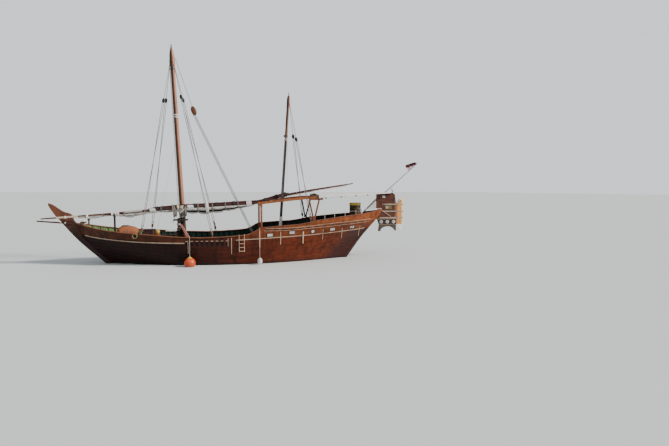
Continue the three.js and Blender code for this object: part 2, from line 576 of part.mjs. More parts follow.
const rudderOutline = [[RUDDER_FORE, 4330], [RUDDER_FORE + 30, 4560], [RUDDER_FORE + 110, 4690],
  [13800, 4770], [13930, 4760], [13965, 4680], [13965, 2600], [13690, 2040], [13620, 2080],
  [13560, 2400], [RUDDER_FORE, 2560]];
const rudderStrap = (z) => [
  box(RUDDER_FORE + 2, 13940, -RUDDER_HALF - STRAP_PROUD, RUDDER_HALF + STRAP_PROUD, z, z + STRAP_HIGH),
  box(RUDDER_AXIS_X, RUDDER_FORE + 40, -22, 22, z + STRAP_HIGH / 2 + PIN_CLEAR, z + STRAP_HIGH),
  upright(RUDDER_AXIS_X, 0, z + STRAP_HIGH / 2, z + STRAP_HIGH, KNUCKLE_R, 12)];
const EYE = { x: 13610, z: 4540, r: 80, sides: 16 };
const eyeHole = new THREE.Path(Array.from({ length: EYE.sides }, (unused, k) => {
  const a = (2 * Math.PI * k) / EYE.sides;
  return new THREE.Vector2(EYE.x + EYE.r * Math.cos(a), EYE.z + EYE.r * Math.sin(a));
}));
const rudderPlate = plate(rudderOutline, RUDDER_HALF, 0, [eyeHole]);
add('rudder', join(rudderPlate, ...STRAP_HEIGHTS.flatMap(rudderStrap)), ORANGE_WOOD);

// Flagstaff on the starboard quarter, leaning aft
const STAFF_X = 10900;
const STAFF_TIP = [15500, 1000, 7650];
const staffFoot = highest(railRun, STAFF_X - 60, STAFF_X + 60) + 40;
const staffY = halfBreadth(STAFF_X, staffFoot) - 60;
const staffShoe = box(
  STAFF_X - 60, STAFF_X + 60, staffY - 50, staffY + 50, staffFoot - 40 + GAP, staffFoot + 40);
const staff = bar([[STAFF_X, staffY, staffFoot], STAFF_TIP], [42, 20], 8);
add('flagstaff', join(staff, staffShoe), MAST_WOOD);

// Bow spar lashed beside the stem
const BOW_SPAR_R = 68;
const bowSparY = -(POST_HALF + GAP + BOW_SPAR_R * OCTAGON_FLAT);
const bowSpar = [[-13610, bowSparY, 3190], [-11250, bowSparY, 2990]];
add('bow_spar', bar(bowSpar, [55, BOW_SPAR_R], 8), DARK_WOOD);

// Things on deck
const hoodSection = [
  [-620, 0], [-620, 520], [-480, 740], [-200, 830], [200, 830], [480, 740], [620, 520], [620, 0]];
const hoodFoot = highest(foredeckRun, -8150, -6720) + GAP;
// Columns: x, share of the width, share of the height
const HOOD = [
  [-8150, 0.8, 0.78], [-7950, 1, 0.97], [-7500, 1, 1], [-7050, 0.95, 0.93], [-6720, 0.75, 0.7]];
const hoodRing = ([x, wide, high]) => hoodSection.map(([y, z]) => [x, y * wide, hoodFoot + z * high]);
add('fore_hood', loft(HOOD.map(hoodRing)), ORANGE_WOOD);

const CHEST = { x: [-6400, -5640], y: [-350, 750], high: 1010, wall: 40, lid: 50 };
const chestFoot = highest(deckRun, ...CHEST.x) + GAP;
const chestTop = chestFoot + CHEST.high;
const chestOuter = box(...CHEST.x, ...CHEST.y, chestFoot, chestTop);
const chestInner = box(CHEST.x[0] + CHEST.wall, CHEST.x[1] - CHEST.wall,
  CHEST.y[0] + CHEST.wall, CHEST.y[1] - CHEST.wall, chestFoot + CHEST.wall, chestTop + CHEST.wall);
add('deck_chest', cut(chestOuter, chestInner), DARK_WOOD);
const lidUnder = chestTop + GAP;
add('chest_lid', box(CHEST.x[0] - 15, CHEST.x[1] + 15, CHEST.y[0] - 25, CHEST.y[1],
  lidUnder, lidUnder + CHEST.lid), DARK_WOOD);

const BITT_X = -3780;
const bittFoot = highest(deckRun, BITT_X - 95, BITT_X + 95) + GAP;
add('mast_bitts', join(
  box(BITT_X - 95, BITT_X + 95, -420, -230, bittFoot, 3330),
  box(BITT_X - 95, BITT_X + 95, 230, 420, bittFoot, 3330),
  box(BITT_X - 80, BITT_X + 80, -620, 620, 2450, 2620),
  box(-4180, -3100, -400, -270, 3120, 3250)), DARK_WOOD);
const braceFoot = highest(deckRun, -2800, -2600) + GAP;
const braceOutline = [[-2800, braceFoot], [-2600, braceFoot], [-3560, 2850], [-3660, 2810]];
add('mast_brace', plate(braceOutline, 110, -500), finish(0xa86a5a, 0.6));
const hatchFoot = highest(deckRun, -1500, 600) + GAP;
add('main_hatch', join(
  box(-1500, 600, -800, 800, hatchFoot, hatchFoot + 300),
  box(-1560, 660, -860, 860, hatchFoot + 250, hatchFoot + 330)), DECK_WOOD);

const DRUM = { x: 9900, r: 450, top: 4400, band: 200 };
const drumFoot = highest(poopRun, DRUM.x - DRUM.r, DRUM.x + DRUM.r) + GAP;
add('poop_drum', join(
  upright(DRUM.x, 0, drumFoot, DRUM.top - DRUM.band / 2, DRUM.r, 20),
  upright(DRUM.x, 0, DRUM.top - DRUM.band, DRUM.top, DRUM.r + 20, 20)), finish(0x2a2c30, 0.6));
const lanternX = 10130;
const lanternZ = highest(railRun, lanternX - 54, lanternX + 54) + GAP;
const lanternY = -(halfBreadth(lanternX, lanternZ) - 60);
const LANTERN = [[0, 55], [60, 70], [130, 112], [250, 118], [290, 100], [310, 130], [400, 130], [445, 50]];
add('lantern_post', bar(LANTERN.map(([high]) => [lanternX, lanternY, lanternZ + high]),
  LANTERN.map(([, r]) => r), 12), finish(0xd8d8d4, 0.5));

// Boarding ladder on the port side, hooked over the cap rail
const LADDER_X = 850;
const ladderHook = (x) => highest(railRun, x - 25, x + 25) + GAP;
const ladderY = -(halfBreadth(LADDER_X, 2000) + CAP_OVERHANG + 45);
const LADDER_FOOT = 980;
const RUNG = { count: 4, pitch: 270, half: 190, first: 1010, high: 40 };
const ladderRails = [LADDER_X - 185, LADDER_X + 185].flatMap((x) => [
  bar([[x, ladderY, LADDER_FOOT], [x, ladderY, ladderHook(x) + 30]], 22, 8),
  box(x - 25, x + 25, ladderY - 20, ladderY + 200, ladderHook(x), ladderHook(x) + 30)]);
const rungs = Array.from({ length: RUNG.count }, (unused, k) => {
  const z = RUNG.first + k * RUNG.pitch;
  return box(LADDER_X - RUNG.half, LADDER_X + RUNG.half, ladderY - 35, ladderY + 35, z, z + RUNG.high);
});
add('boarding_ladder', join(...ladderRails, ...rungs), finish(0xcfc4ae, 0.7));

// Fenders on their lanyards, hooked over the port rail
function fender(name, x, z, r, shape, material) {
  const side = -(halfBreadth(x, railZ(x)) + CAP_OVERHANG);
  const y = Math.min(-(halfBreadth(x, z + r) + r + 4), side - 20);
  const top = highest(railRun, x - 14, x + 14) + 12 + GAP;
  const line = [[x, y, z + r * 0.8], [x, side - 16, top - 40], [x, side - 16, top]];
  const hook = box(x - 14, x + 14, side - 24, side + 160, top - 12, top + 12);
  add(name, join(shape(x, y, z, r), bar(line, 12, 6), hook), material);
}
const ball = (x, y, z, r) => {
  const geometry = new THREE.SphereGeometry(r, 16, 12);
  geometry.rotateX(Math.PI / 2);
  geometry.translate(x, y, z);
  return geometry;
};
fender('fender_fore', -2780, 260, 400, ball, finish(0xe8662a, 0.5));
const bottle = (x, y, z, r) => (
  bar([-260, -180, 100, 180].map((high) => [x, y, z + high]), [r * 0.5, r, r, r * 0.4], 12));
fender('fender_aft', 2130, 330, 170, bottle, finish(0xe6e6e0, 0.5));

// Standing rigging: pendant, upper block, two-part tackle, lower block on the cap rail
const SHROUD_FOOT = 30; // height of the eye plate on the cap rail
function shroud(name, foot, head, blockShare) {
  const [a, b] = [new THREE.Vector3(...foot), new THREE.Vector3(...head)];
  const along = b.clone().sub(a).normalize();
  const at = (share, side = 0) => {
    const p = a.clone().lerp(b, share);
    return [p.x + side, p.y, p.z];
  };
  const long = a.distanceTo(b);
  const step = (metres) => metres / long;
  const block = (from, to, wide) => timber(at(from), at(to), wide, wide * 0.7);
  const eyePlate = box(
    foot[0] - 40, foot[0] + 40, foot[1] - 40, foot[1] + 40, foot[2] - SHROUD_FOOT, foot[2] + 20);
  add(name, join(
    bar([at(blockShare + step(100)), at(1)], 16, 6),
    block(blockShare - step(170), blockShare + step(170), 190),
    bar([at(step(200), -55), at(blockShare, -55)], 14, 6),
    bar([at(step(200), 55), at(blockShare, 55)], 14, 6),
    block(step(120), step(430), 170),
    bar([at(0), at(step(200))], 20, 6),
    eyePlate), ROPE);
}
for (const [side, hand] of SIDES) {
  const rope = (name, footX, shares, headZ, mastX, mastR, aft) => {
    const footZ = highest(railRun, footX - 40, footX + 40) + GAP + SHROUD_FOOT;
    const footY = hand * (halfBreadth(footX, footZ) - 40);
    const headY = hand * Math.sqrt((mastR + 14) ** 2 - aft ** 2);
    shroud(`${name}_${side}`, [footX, footY, footZ], [mastX(headZ) + aft, headY, headZ], shares[hand < 0 ? 0 : 1]);
  };
  rope('main_shroud_fore', -6120, [0.775, 0.79], 14750, mainMastX, 181, -185);
  rope('main_shroud_aft', -1190, [0.805, 0.805], 14700, mainMastX, 176, 110);
  rope('mizzen_shroud', 5950, [0.68, 0.722], 12200, mizzenX, 113, 90);
}

// Halyard tackle: pendant from the masthead, large upper block, falls down to the poop break
const HALYARD_HEAD = [mainMastX(15200) + 205, 60, 15200];
const HALYARD_BLOCK = [-2580, 150, 11390];
const HALYARD_FOOT = [1950, 900, highest(deckRun, 1900, 2000) + 20];
const from = ([x, y, z], dx, dz) => [x + dx, y, z + dz];
const fall = (shift) => bar([from(HALYARD_BLOCK, shift, -200), from(HALYARD_FOOT, shift, 350)], 14, 6);
const blockBox = ([x, y, z], halfX, halfY, low, high) => (
  box(x - halfX, x + halfX, y - halfY, y + halfY, z + low, z + high));
add('halyard_tackle', join(
  bar([HALYARD_HEAD, HALYARD_BLOCK], 16, 6),
  blockBox(HALYARD_BLOCK, 180, 110, -340, 340),
  fall(-90), fall(0), fall(90),
  blockBox(HALYARD_FOOT, 150, 90, 250, 600),
  bar([from(HALYARD_FOOT, 0, -19.6), from(HALYARD_FOOT, 0, 300)], 30, 8)), ROPE);

group.updateMatrixWorld(true);
export default group;
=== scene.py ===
# %% [markdown]
# # Dressing a wooden sailing dhow
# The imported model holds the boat's pieces at their real size. This notebook gives them what the
# eye looks for: planks with seams between them, spars with lashings, cloth that sags, rope and
# worn paint. Everything is in metres: +X points aft, +Y to starboard, +Z up, and the waterline is at 0.

# %% Load the frame
from math import copysign, cos, hypot, pi, radians, sin, sqrt

import bmesh
import bpy
import numpy as np
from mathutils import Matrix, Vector


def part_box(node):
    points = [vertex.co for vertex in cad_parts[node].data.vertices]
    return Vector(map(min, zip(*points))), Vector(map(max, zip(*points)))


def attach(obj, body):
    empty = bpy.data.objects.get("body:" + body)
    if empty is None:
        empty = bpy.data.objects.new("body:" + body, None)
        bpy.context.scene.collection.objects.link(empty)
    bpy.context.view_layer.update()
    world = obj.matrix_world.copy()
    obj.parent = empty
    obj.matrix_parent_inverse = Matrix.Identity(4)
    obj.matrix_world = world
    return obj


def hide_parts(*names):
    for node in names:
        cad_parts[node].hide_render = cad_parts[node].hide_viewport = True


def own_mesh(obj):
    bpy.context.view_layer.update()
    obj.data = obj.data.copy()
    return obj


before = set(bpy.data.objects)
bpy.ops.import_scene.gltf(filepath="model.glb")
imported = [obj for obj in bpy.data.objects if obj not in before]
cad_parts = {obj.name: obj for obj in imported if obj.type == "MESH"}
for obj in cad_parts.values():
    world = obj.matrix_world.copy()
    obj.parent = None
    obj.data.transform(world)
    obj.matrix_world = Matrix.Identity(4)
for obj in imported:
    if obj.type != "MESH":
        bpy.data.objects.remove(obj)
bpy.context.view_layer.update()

# %% [markdown]
# The camera comes first. The photograph was taken from a height of five and a half metres, about
# forty metres off the port side, looking a little aft and a little down. A lens without shift
# reproduces it, because the horizon lies where that tilt puts it.

# %% Camera and light
def new_object(name, data):
    made = bpy.data.objects.new(name, data)
    bpy.context.scene.collection.objects.link(made)
    return made


EYE = (0.66, -39.58, 5.5)
PAN = radians(10.8)
TILT = radians(3.87)
camera = new_object("photo_camera", bpy.data.cameras.new("photo_camera"))
camera.data.lens = 27.05
camera.data.sensor_width = 36
camera.data.clip_end = 2000
camera.location = EYE
camera.rotation_euler = (pi / 2 - TILT, 0, -PAN)
bpy.context.scene.camera = camera


def lamp(name, kind, turn, strength, color, **size):
    light = new_object(name, bpy.data.lights.new(name, kind))
    light.rotation_euler = [radians(a) for a in turn]
    light.data.energy = strength
    light.data.color = color
    for key, value in size.items():
        setattr(light.data, key, value)


lamp("low_key", "SUN", (60, 0, 68), 5.6, (1.0, 0.93, 0.84), angle=radians(9))
lamp("sky_fill", "SUN", (38, 0, -50), 0.35, (0.88, 0.94, 1.0), angle=radians(60))
world = bpy.data.worlds.new("studio")
world.use_nodes = True
backdrop = world.node_tree.nodes["Background"]
backdrop.inputs["Color"].default_value = (0.88, 0.92, 0.96, 1)
seen = world.node_tree.nodes.new("ShaderNodeLightPath").outputs["Is Camera Ray"]
level = world.node_tree.nodes.new("ShaderNodeMapRange")
level.inputs["To Min"].default_value = 0.5
level.inputs["To Max"].default_value = 1.15
world.node_tree.links.new(seen, level.inputs["Value"])
world.node_tree.links.new(level.outputs[0], backdrop.inputs["Strength"])
bpy.context.scene.world = world

# %% [markdown]
# ## Small helpers
# A piece is built from parts. Each part is a list of points and a list of faces, and several parts
# become one mesh, each with its own finish. Writing the mesh directly keeps every object at the
# origin with its place in its points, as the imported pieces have.

# %% Mesh helpers
def as_part(points, faces, finish=0):
    return {"points": [tuple(p) for p in points], "faces": faces, "finish": finish, "uv": None}


def loft(rings, finish=0, finish_of=None, closed=True):
    """Skins rings of equal length, with a face at each end. finish_of(j) names a side's finish."""
    n = len(rings[0])
    faces, finishes = [], []
    for i in range(len(rings) - 1):
        for j in range(n if closed else n - 1):
            k = (j + 1) % n
            faces.append((i * n + j, i * n + k, (i + 1) * n + k, (i + 1) * n + j))
            finishes.append(finish_of(j) if finish_of else finish)
    if closed:
        faces += [tuple(range(n)), tuple((len(rings) - 1) * n + j for j in reversed(range(n)))]
        finishes += [finish, finish]
    return as_part([p for ring in rings for p in ring], faces, finishes)


def frames_along(path):
    """A side and an up direction at each point of a path, turning as little as they can."""
    path = [Vector(p) for p in path]
    along = [(path[min(i + 1, len(path) - 1)] - path[max(i - 1, 0)]).normalized()
        for i in range(len(path))]
    start = Vector((0, 1, 0)) if abs(along[0].y) < 0.9 else Vector((1, 0, 0))
    side = (start - start.dot(along[0]) * along[0]).normalized()
    found = []
    for a in along:
        side = (side - side.dot(a) * a).normalized()
        found.append((side, a.cross(side)))
    return found


def tube(path, radius, sides=10, finish=0):
    """A round bar along a path, with a UV map that runs around it and along it in metres."""
    radii = [float(r) for r in radius] if hasattr(radius, "__len__") else [radius] * len(path)
    rings = []
    for p, r, (side, up) in zip(path, radii, frames_along(path)):
        turn = [2 * pi * j / sides for j in range(sides)]
        rings.append([Vector(p) + r * cos(a) * side + r * sin(a) * up for a in turn])
    part = loft(rings, finish)
    run = [0.0]
    for a, b in zip(path, path[1:]):
        run.append(run[-1] + (Vector(b) - Vector(a)).length)
    uv = []
    for i in range(len(path) - 1):
        for j in range(sides):
            u0, u1 = j / sides, (j + 1) / sides
            uv.append([(u0, run[i]), (u1, run[i]), (u1, run[i + 1]), (u0, run[i + 1])])
    part["uv"] = uv + [[(0, 0)] * sides] * 2
    return part


def block(lo, hi, chamfer=0.006, finish=0):
    """A squared timber with its edges taken off."""
    lo, hi = [min(a, b) for a, b in zip(lo, hi)], [max(a, b) for a, b in zip(lo, hi)]
    c = min([chamfer] + [(b - a) * 0.4 for a, b in zip(lo, hi)])

    def ring(inset, z):
        (x0, y0, x1, y1) = (lo[0] + inset, lo[1] + inset, hi[0] - inset, hi[1] - inset)
        return [(x0 + c, y0, z), (x1 - c, y0, z), (x1, y0 + c, z), (x1, y1 - c, z), (x1 - c, y1, z),
            (x0 + c, y1, z), (x0, y1 - c, z), (x0, y0 + c, z)]

    return loft([ring(c, lo[2]), ring(0, lo[2] + c), ring(0, hi[2] - c), ring(c, hi[2])], finish)


def post(x, y, half_x, half_y, z0, z1, chamfer, finish=0):
    """A squared timber that stands round a middle line."""
    return block((x - half_x, y - half_y, z0), (x + half_x, y + half_y, z1), chamfer, finish)


def turned(profile, centre, sides=24, axis="Z", finish=0):
    """A lathe-turned shape: profile rows are radius and height along the axis."""
    rings = []
    for r, h in profile:
        ring = []
        for j in range(sides):
            a = 2 * pi * j / sides
            u, v = r * cos(a), r * sin(a)
            offset = {"Z": (u, v, h), "Y": (v, h, u), "X": (h, u, v)}[axis]
            ring.append(tuple(c + o for c, o in zip(centre, offset)))
        rings.append(ring)
    return loft(rings, finish)


def beam(a, b, wide, deep, finish=0, chamfer=0.006):
    """A squared timber from a to b; wide runs sideways and deep runs in the upright plane."""
    a, b = Vector(a), Vector(b)
    along = (b - a).normalized()
    side = Vector((0, 1, 0)) if abs(along.y) < 0.9 else Vector((1, 0, 0))
    side = (side - side.dot(along) * along).normalized()
    up = along.cross(side)

    def ring(p, inset):
        w, d, c = wide / 2 - inset, deep / 2 - inset, min(chamfer, wide * 0.3, deep * 0.3)
        corners = [(-w + c, -d), (w - c, -d), (w, -d + c), (w, d - c), (w - c, d), (-w + c, d),
            (-w, d - c), (-w, -d + c)]
        return [p + s * side + t * up for s, t in corners]

    tip = min(chamfer, 0.3 * min(wide, deep))
    return loft([ring(a, tip), ring(a + tip * along, 0), ring(b - tip * along, 0), ring(b, tip)], finish)


def loop(centre, u, v, rope, count=24, turns=1.0, rise=(0, 0, 0), start=0.0, sides=8, finish=0):
    """Rope round a centre, with half axes u and v. It moves on by rise in each turn."""
    centre, u, v, rise = Vector(centre), Vector(u), Vector(v), Vector(rise)
    path = []
    for t in np.linspace(0, turns, count).tolist():
        a = start + 2 * pi * t
        path.append(centre + cos(a) * u + sin(a) * v + t * rise)
    return tube(path, rope, sides, finish)


def rect(x0, z0, x1, z1):
    return [(x0, z0), (x1, z0), (x1, z1), (x0, z1)]


def plate(outline, half, chamfer=0.008, middle=0.0, finish=0, holes=()):
    """A flat board cut to an outline of x and z, with its edges taken off."""
    bm = bmesh.new()
    loops = []
    for line in [outline, *holes]:
        points = [bm.verts.new((x, middle - half, z)) for x, z in line]
        loops += [bm.edges.new((points[i], points[(i + 1) % len(points)])) for i in range(len(points))]
    face = bmesh.ops.triangle_fill(bm, edges=loops, use_beauty=True)["geom"]
    grown = bmesh.ops.extrude_face_region(bm, geom=face)
    moved = [g for g in grown["geom"] if isinstance(g, bmesh.types.BMVert)]
    bmesh.ops.translate(bm, verts=moved, vec=(0, 2 * half, 0))
    bmesh.ops.recalc_face_normals(bm, faces=bm.faces)
    if chamfer:
        rim = [e for e in bm.edges if len(e.link_faces) == 2 and e.calc_face_angle() > radians(60)
            and abs(e.verts[0].co.y - e.verts[1].co.y) < 1e-6]
        bmesh.ops.bevel(bm, geom=rim, offset=chamfer, segments=1, affect="EDGES")
    bm.verts.index_update()
    part = as_part([v.co for v in bm.verts], [tuple(v.index for v in f.verts) for f in bm.faces], finish)
    bm.free()
    return part


def put_on_body(name, mesh, body="boat", slot=None, replaces=(), crease=35, merge=0.0):
    """Makes a mesh smooth but for its creases, and an object of it that rides on a body."""
    bm = bmesh.new()
    bm.from_mesh(mesh)
    if merge:
        bmesh.ops.remove_doubles(bm, verts=bm.verts, dist=merge)
    bmesh.ops.recalc_face_normals(bm, faces=bm.faces)
    bm.to_mesh(mesh)
    bm.free()
    mesh.polygons.foreach_set("use_smooth", [True] * len(mesh.polygons))
    mesh.set_sharp_from_angle(angle=radians(crease))
    obj = new_object(name, mesh)
    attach(obj, body)
    if replaces:
        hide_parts(*replaces)
    return obj


def piece(name, parts, materials, **kept):
    """Joins parts into one mesh object that rides on a body."""
    points, faces, finishes, uvs = [], [], [], []
    for part in parts if isinstance(parts, list) else [parts]:
        start, count = len(points), len(part["faces"])
        points += part["points"]
        faces += [tuple(i + start for i in f) for f in part["faces"]]
        finishes += part["finish"] if isinstance(part["finish"], list) else [part["finish"]] * count
        uvs += part["uv"] or [None] * count
    mesh = bpy.data.meshes.new(name)
    mesh.from_pydata(points, [], faces)
    for material in materials if isinstance(materials, list) else [materials]:
        mesh.materials.append(material)
    mesh.polygons.foreach_set("material_index", finishes)
    if any(uvs):
        layer = mesh.uv_layers.new(name="UVMap")
        flat = [c for f, uv in zip(faces, uvs) for pair in (uv or [(0, 0)] * len(f)) for c in pair]
        layer.data.foreach_set("uv", flat)
    return put_on_body(name, mesh, **kept)


# %% [markdown]
# ## Finishes
# Oiled teak, painted planks, canvas and rope each repeat all over a boat. What they share, grain,
# flaking paint, weave and rope lay, is built once as a node group. The group puts out colours and
# heights that change over the surface, and each finish places it with values of its own.

# %% Node helpers
def add_node(tree, kind, links=None, **settings):
    made = tree.nodes.new(kind)
    for key, value in settings.items():
        setattr(made, key, value)
    for key, value in (links or {}).items():
        if isinstance(value, bpy.types.NodeSocket):
            tree.links.new(value, made.inputs[key])
        else:
            made.inputs[key].default_value = value
    return made


def maths(tree, operation, *values, clamp=False):
    return add_node(tree, "ShaderNodeMath", dict(enumerate(values)), operation=operation,
        use_clamp=clamp).outputs[0]


def plus(tree, a, b):
    return maths(tree, "ADD", a, b)


def minus(tree, a, b):
    return maths(tree, "SUBTRACT", a, b)


def times(tree, a, b, clamp=False):
    return maths(tree, "MULTIPLY", a, b, clamp=clamp)


def blend(tree, share, a, b, kind="MIX"):
    return add_node(tree, "ShaderNodeMix", {0: share, 6: a, 7: b}, data_type="RGBA",
        blend_type=kind).outputs[2]


def tinted(tree, color, tint):
    return blend(tree, 1.0, color, (*tint, 1), "MULTIPLY")


def place_in(tree):
    return add_node(tree, "ShaderNodeTexCoord").outputs["Object"]


def axes_in(tree):
    return add_node(tree, "ShaderNodeSeparateXYZ", {0: place_in(tree)}).outputs


def noise(tree, where, scale, detail=4.0, rough=0.55):
    links = {"Vector": where, "Scale": scale, "Detail": detail, "Roughness": rough}
    return add_node(tree, "ShaderNodeTexNoise", links).outputs["Fac"]


def stretch(tree, where, scale):
    return add_node(tree, "ShaderNodeVectorMath", {0: where, 1: scale}, operation="MULTIPLY").outputs[0]


def ramp(tree, value, low, high):
    return add_node(tree, "ShaderNodeMapRange", {0: value, 1: low, 2: high}).outputs[0]


def new_group(name, inputs):
    """A shader group with its inputs, which puts out a colour, a roughness and a height."""
    group = bpy.data.node_groups.new(name, "ShaderNodeTree")
    for label, kind, start in inputs:
        socket = group.interface.new_socket(name=label, in_out="INPUT", socket_type="NodeSocket" + kind)
        socket.default_value = start
    for label, kind in (("Color", "Color"), ("Roughness", "Float"), ("Height", "Float")):
        group.interface.new_socket(name=label, in_out="OUTPUT", socket_type="NodeSocket" + kind)
    entry = group.nodes.new("NodeGroupInput").outputs
    leave = group.nodes.new("NodeGroupOutput").inputs
    return group, entry, leave, place_in(group)


def put_out(tree, result, *made):
    for socket, entry in zip(made, result):
        tree.links.new(socket, entry)


# %% Wood grain, shared by every timber
tree, given, result, where = new_group("timber_grain", [("Light", "Color", (0.5, 0.3, 0.15, 1)),
    ("Dark", "Color", (0.2, 0.1, 0.05, 1)), ("Stretch", "Vector", (0.5, 7, 7)), ("Stain", "Float", 0.4),
    ("Gloss", "Float", 0.45)])
drawn = stretch(tree, where, given["Stretch"])
fine = noise(tree, drawn, 5.0, 8.0, 0.65)
broad = noise(tree, stretch(tree, drawn, (1, 0.35, 0.35)), 1.6, 3.0)
drip = noise(tree, stretch(tree, where, (2.2, 2.2, 0.5)), 1.3, 6.0, 0.6)
tone = plus(tree, times(tree, fine, 0.55), times(tree, broad, 0.65))
color = blend(tree, ramp(tree, tone, 0.42, 0.80), given["Dark"], given["Light"])
soil = times(tree, ramp(tree, drip, 0.46, 0.74), given["Stain"], clamp=True)
stained = blend(tree, soil, color, (0.025, 0.014, 0.010, 1))
put_out(tree, result, stained, plus(tree, given["Gloss"], times(tree, fine, 0.35)), fine)
grain_group = tree

# %% Paint over wood
tree, given, result, where = new_group("worn_paint", [("Paint", "Color", (0.1, 0.3, 0.1, 1)),
    ("Under", "Color", (0.2, 0.12, 0.08, 1)), ("Wear", "Float", 0.5)])
chips = noise(tree, stretch(tree, where, (3, 9, 9)), 2.2, 9.0, 0.7)
tint = noise(tree, where, 1.7, 5.0)
edge = minus(tree, 0.80, times(tree, given["Wear"], 0.35))
flaked = ramp(tree, chips, edge, plus(tree, edge, 0.05))
faded = blend(tree, ramp(tree, tint, 0.35, 0.75), blend(tree, 0.45, given["Paint"], (0, 0, 0, 1)),
    given["Paint"])
worn = blend(tree, flaked, faded, given["Under"])
put_out(tree, result, worn, plus(tree, 0.45, times(tree, flaked, 0.35)), minus(tree, 1.0, flaked))
paint_group = tree

# %% Woven cloth
tree, given, result, where = new_group("canvas_weave",
    [("Cloth", "Color", (0.7, 0.7, 0.7, 1)), ("Soil", "Float", 0.4), ("Threads", "Float", 320.0)])
patch = noise(tree, stretch(tree, where, (0.8, 2.5, 2.5)), 1.4, 6.0, 0.6)
speck = noise(tree, where, 60.0, 3.0)
threads = {"Vector": where, "Scale": given["Threads"]}
warp, weft = [add_node(tree, "ShaderNodeTexWave", threads, bands_direction=way).outputs["Fac"]
    for way in "XY"]
grime = times(tree, ramp(tree, patch, 0.40, 0.78), given["Soil"], clamp=True)
cloth = blend(tree, grime, given["Cloth"], (0.16, 0.14, 0.12, 1))
specked = blend(tree, times(tree, speck, 0.12), cloth, (0.05, 0.05, 0.05, 1))
put_out(tree, result, specked, plus(tree, 0.78, times(tree, patch, 0.2)), times(tree, warp, weft))
weave_group = tree

# %% Three-strand rope
tree, given, result, where = new_group("rope_lay",
    [("Fibre", "Color", (0.6, 0.55, 0.45, 1)), ("Turns", "Float", 9.0), ("Place", "Vector", (0, 0, 0))])
around, along, _ = add_node(tree, "ShaderNodeSeparateXYZ", {0: given["Place"]}).outputs
turn = plus(tree, times(tree, around, 3.0), times(tree, along, given["Turns"]))
strand = maths(tree, "ABSOLUTE", maths(tree, "SINE", times(tree, turn, pi)))
fuzz = noise(tree, where, 45.0, 4.0)
# the grooves between strands are darkened with painted shade
groove = blend(tree, 0.7, given["Fibre"], (0.03, 0.02, 0.02, 1))
crown = blend(tree, times(tree, fuzz, 0.5), given["Fibre"], (0.2, 0.16, 0.12, 1))
lay = blend(tree, ramp(tree, strand, 0.0, 0.6), groove, crown)
put_out(tree, result, lay, plus(tree, 0.75, times(tree, fuzz, 0.2)), strand)
lay_group = tree


# %% Materials from the groups
def material_from(name, group, values, bump, gap=0.004, coat=0.0, metal=0.0, extra=None, shine=0.4):
    made = bpy.data.materials.new(name)
    made.use_nodes = True
    tree = made.node_tree
    shader = tree.nodes["Principled BSDF"]
    used = tree.nodes.new("ShaderNodeGroup")
    used.node_tree = group
    for key, value in values.items():
        used.inputs[key].default_value = value
    if group is lay_group:
        tree.links.new(add_node(tree, "ShaderNodeUVMap", uv_map="UVMap").outputs[0], used.inputs["Place"])
    color = extra(tree, used) if extra else used.outputs["Color"]
    tree.links.new(color, shader.inputs["Base Color"])
    tree.links.new(used.outputs["Roughness"], shader.inputs["Roughness"])
    lift = add_node(tree, "ShaderNodeBump",
        {"Height": used.outputs["Height"], "Strength": bump, "Distance": gap})
    tree.links.new(lift.outputs[0], shader.inputs["Normal"])
    shader.inputs["Specular IOR Level"].default_value = shine
    shader.inputs["Coat Weight"].default_value = coat
    shader.inputs["Coat Roughness"].default_value = 0.3
    shader.inputs["Metallic"].default_value = metal
    return made


def timber(name, light, dark, stain=0.4, gloss=0.4, run=(0.5, 7, 7), bump=0.35, coat=0.0,
        extra=None, shine=0.3):
    values = {"Light": (*light, 1), "Dark": (*dark, 1), "Stain": stain, "Gloss": gloss, "Stretch": run}
    return material_from(name, grain_group, values, bump, 0.004, coat, extra=extra, shine=shine)


def painted(name, paint, under, wear, bump, **more):
    values = {"Paint": (*paint, 1), "Under": (*under, 1), "Wear": wear}
    return material_from(name, paint_group, values, bump, **more)


def woven(name, color, soil, bump=0.15, gap=0.001, **more):
    return material_from(name, weave_group, {"Cloth": (*color, 1), "Soil": soil}, bump, gap, **more)


def laid(name, color):
    return material_from(name, lay_group, {"Fibre": (*color, 1)}, 0.6, 0.003)


UPRIGHT = (7, 7, 0.5)

# %% [markdown]
# The colours run from very dark planks forward to red-brown planks aft, with orange-brown strakes
# above the long moulding, and pale trim. The dark forward is partly the planks' own tone and partly
# painted shade, and a patch of painted shade darkens the low planks near the sternpost. One finish
# covers the whole planking and changes with the place along the hull, so that no seam shows where
# the colours meet.

# %% Finishes of the hull
def above(tree, x, z, line, first, last):
    """One above a bent line (level, slope and bend over x), from one place along the hull on."""
    level, slope, bend = line
    height = plus(tree, level, times(tree, x, plus(tree, slope, times(tree, x, bend))))
    return times(tree, ramp(tree, minus(tree, z, height), -0.02, 0.02), ramp(tree, x, first, last))


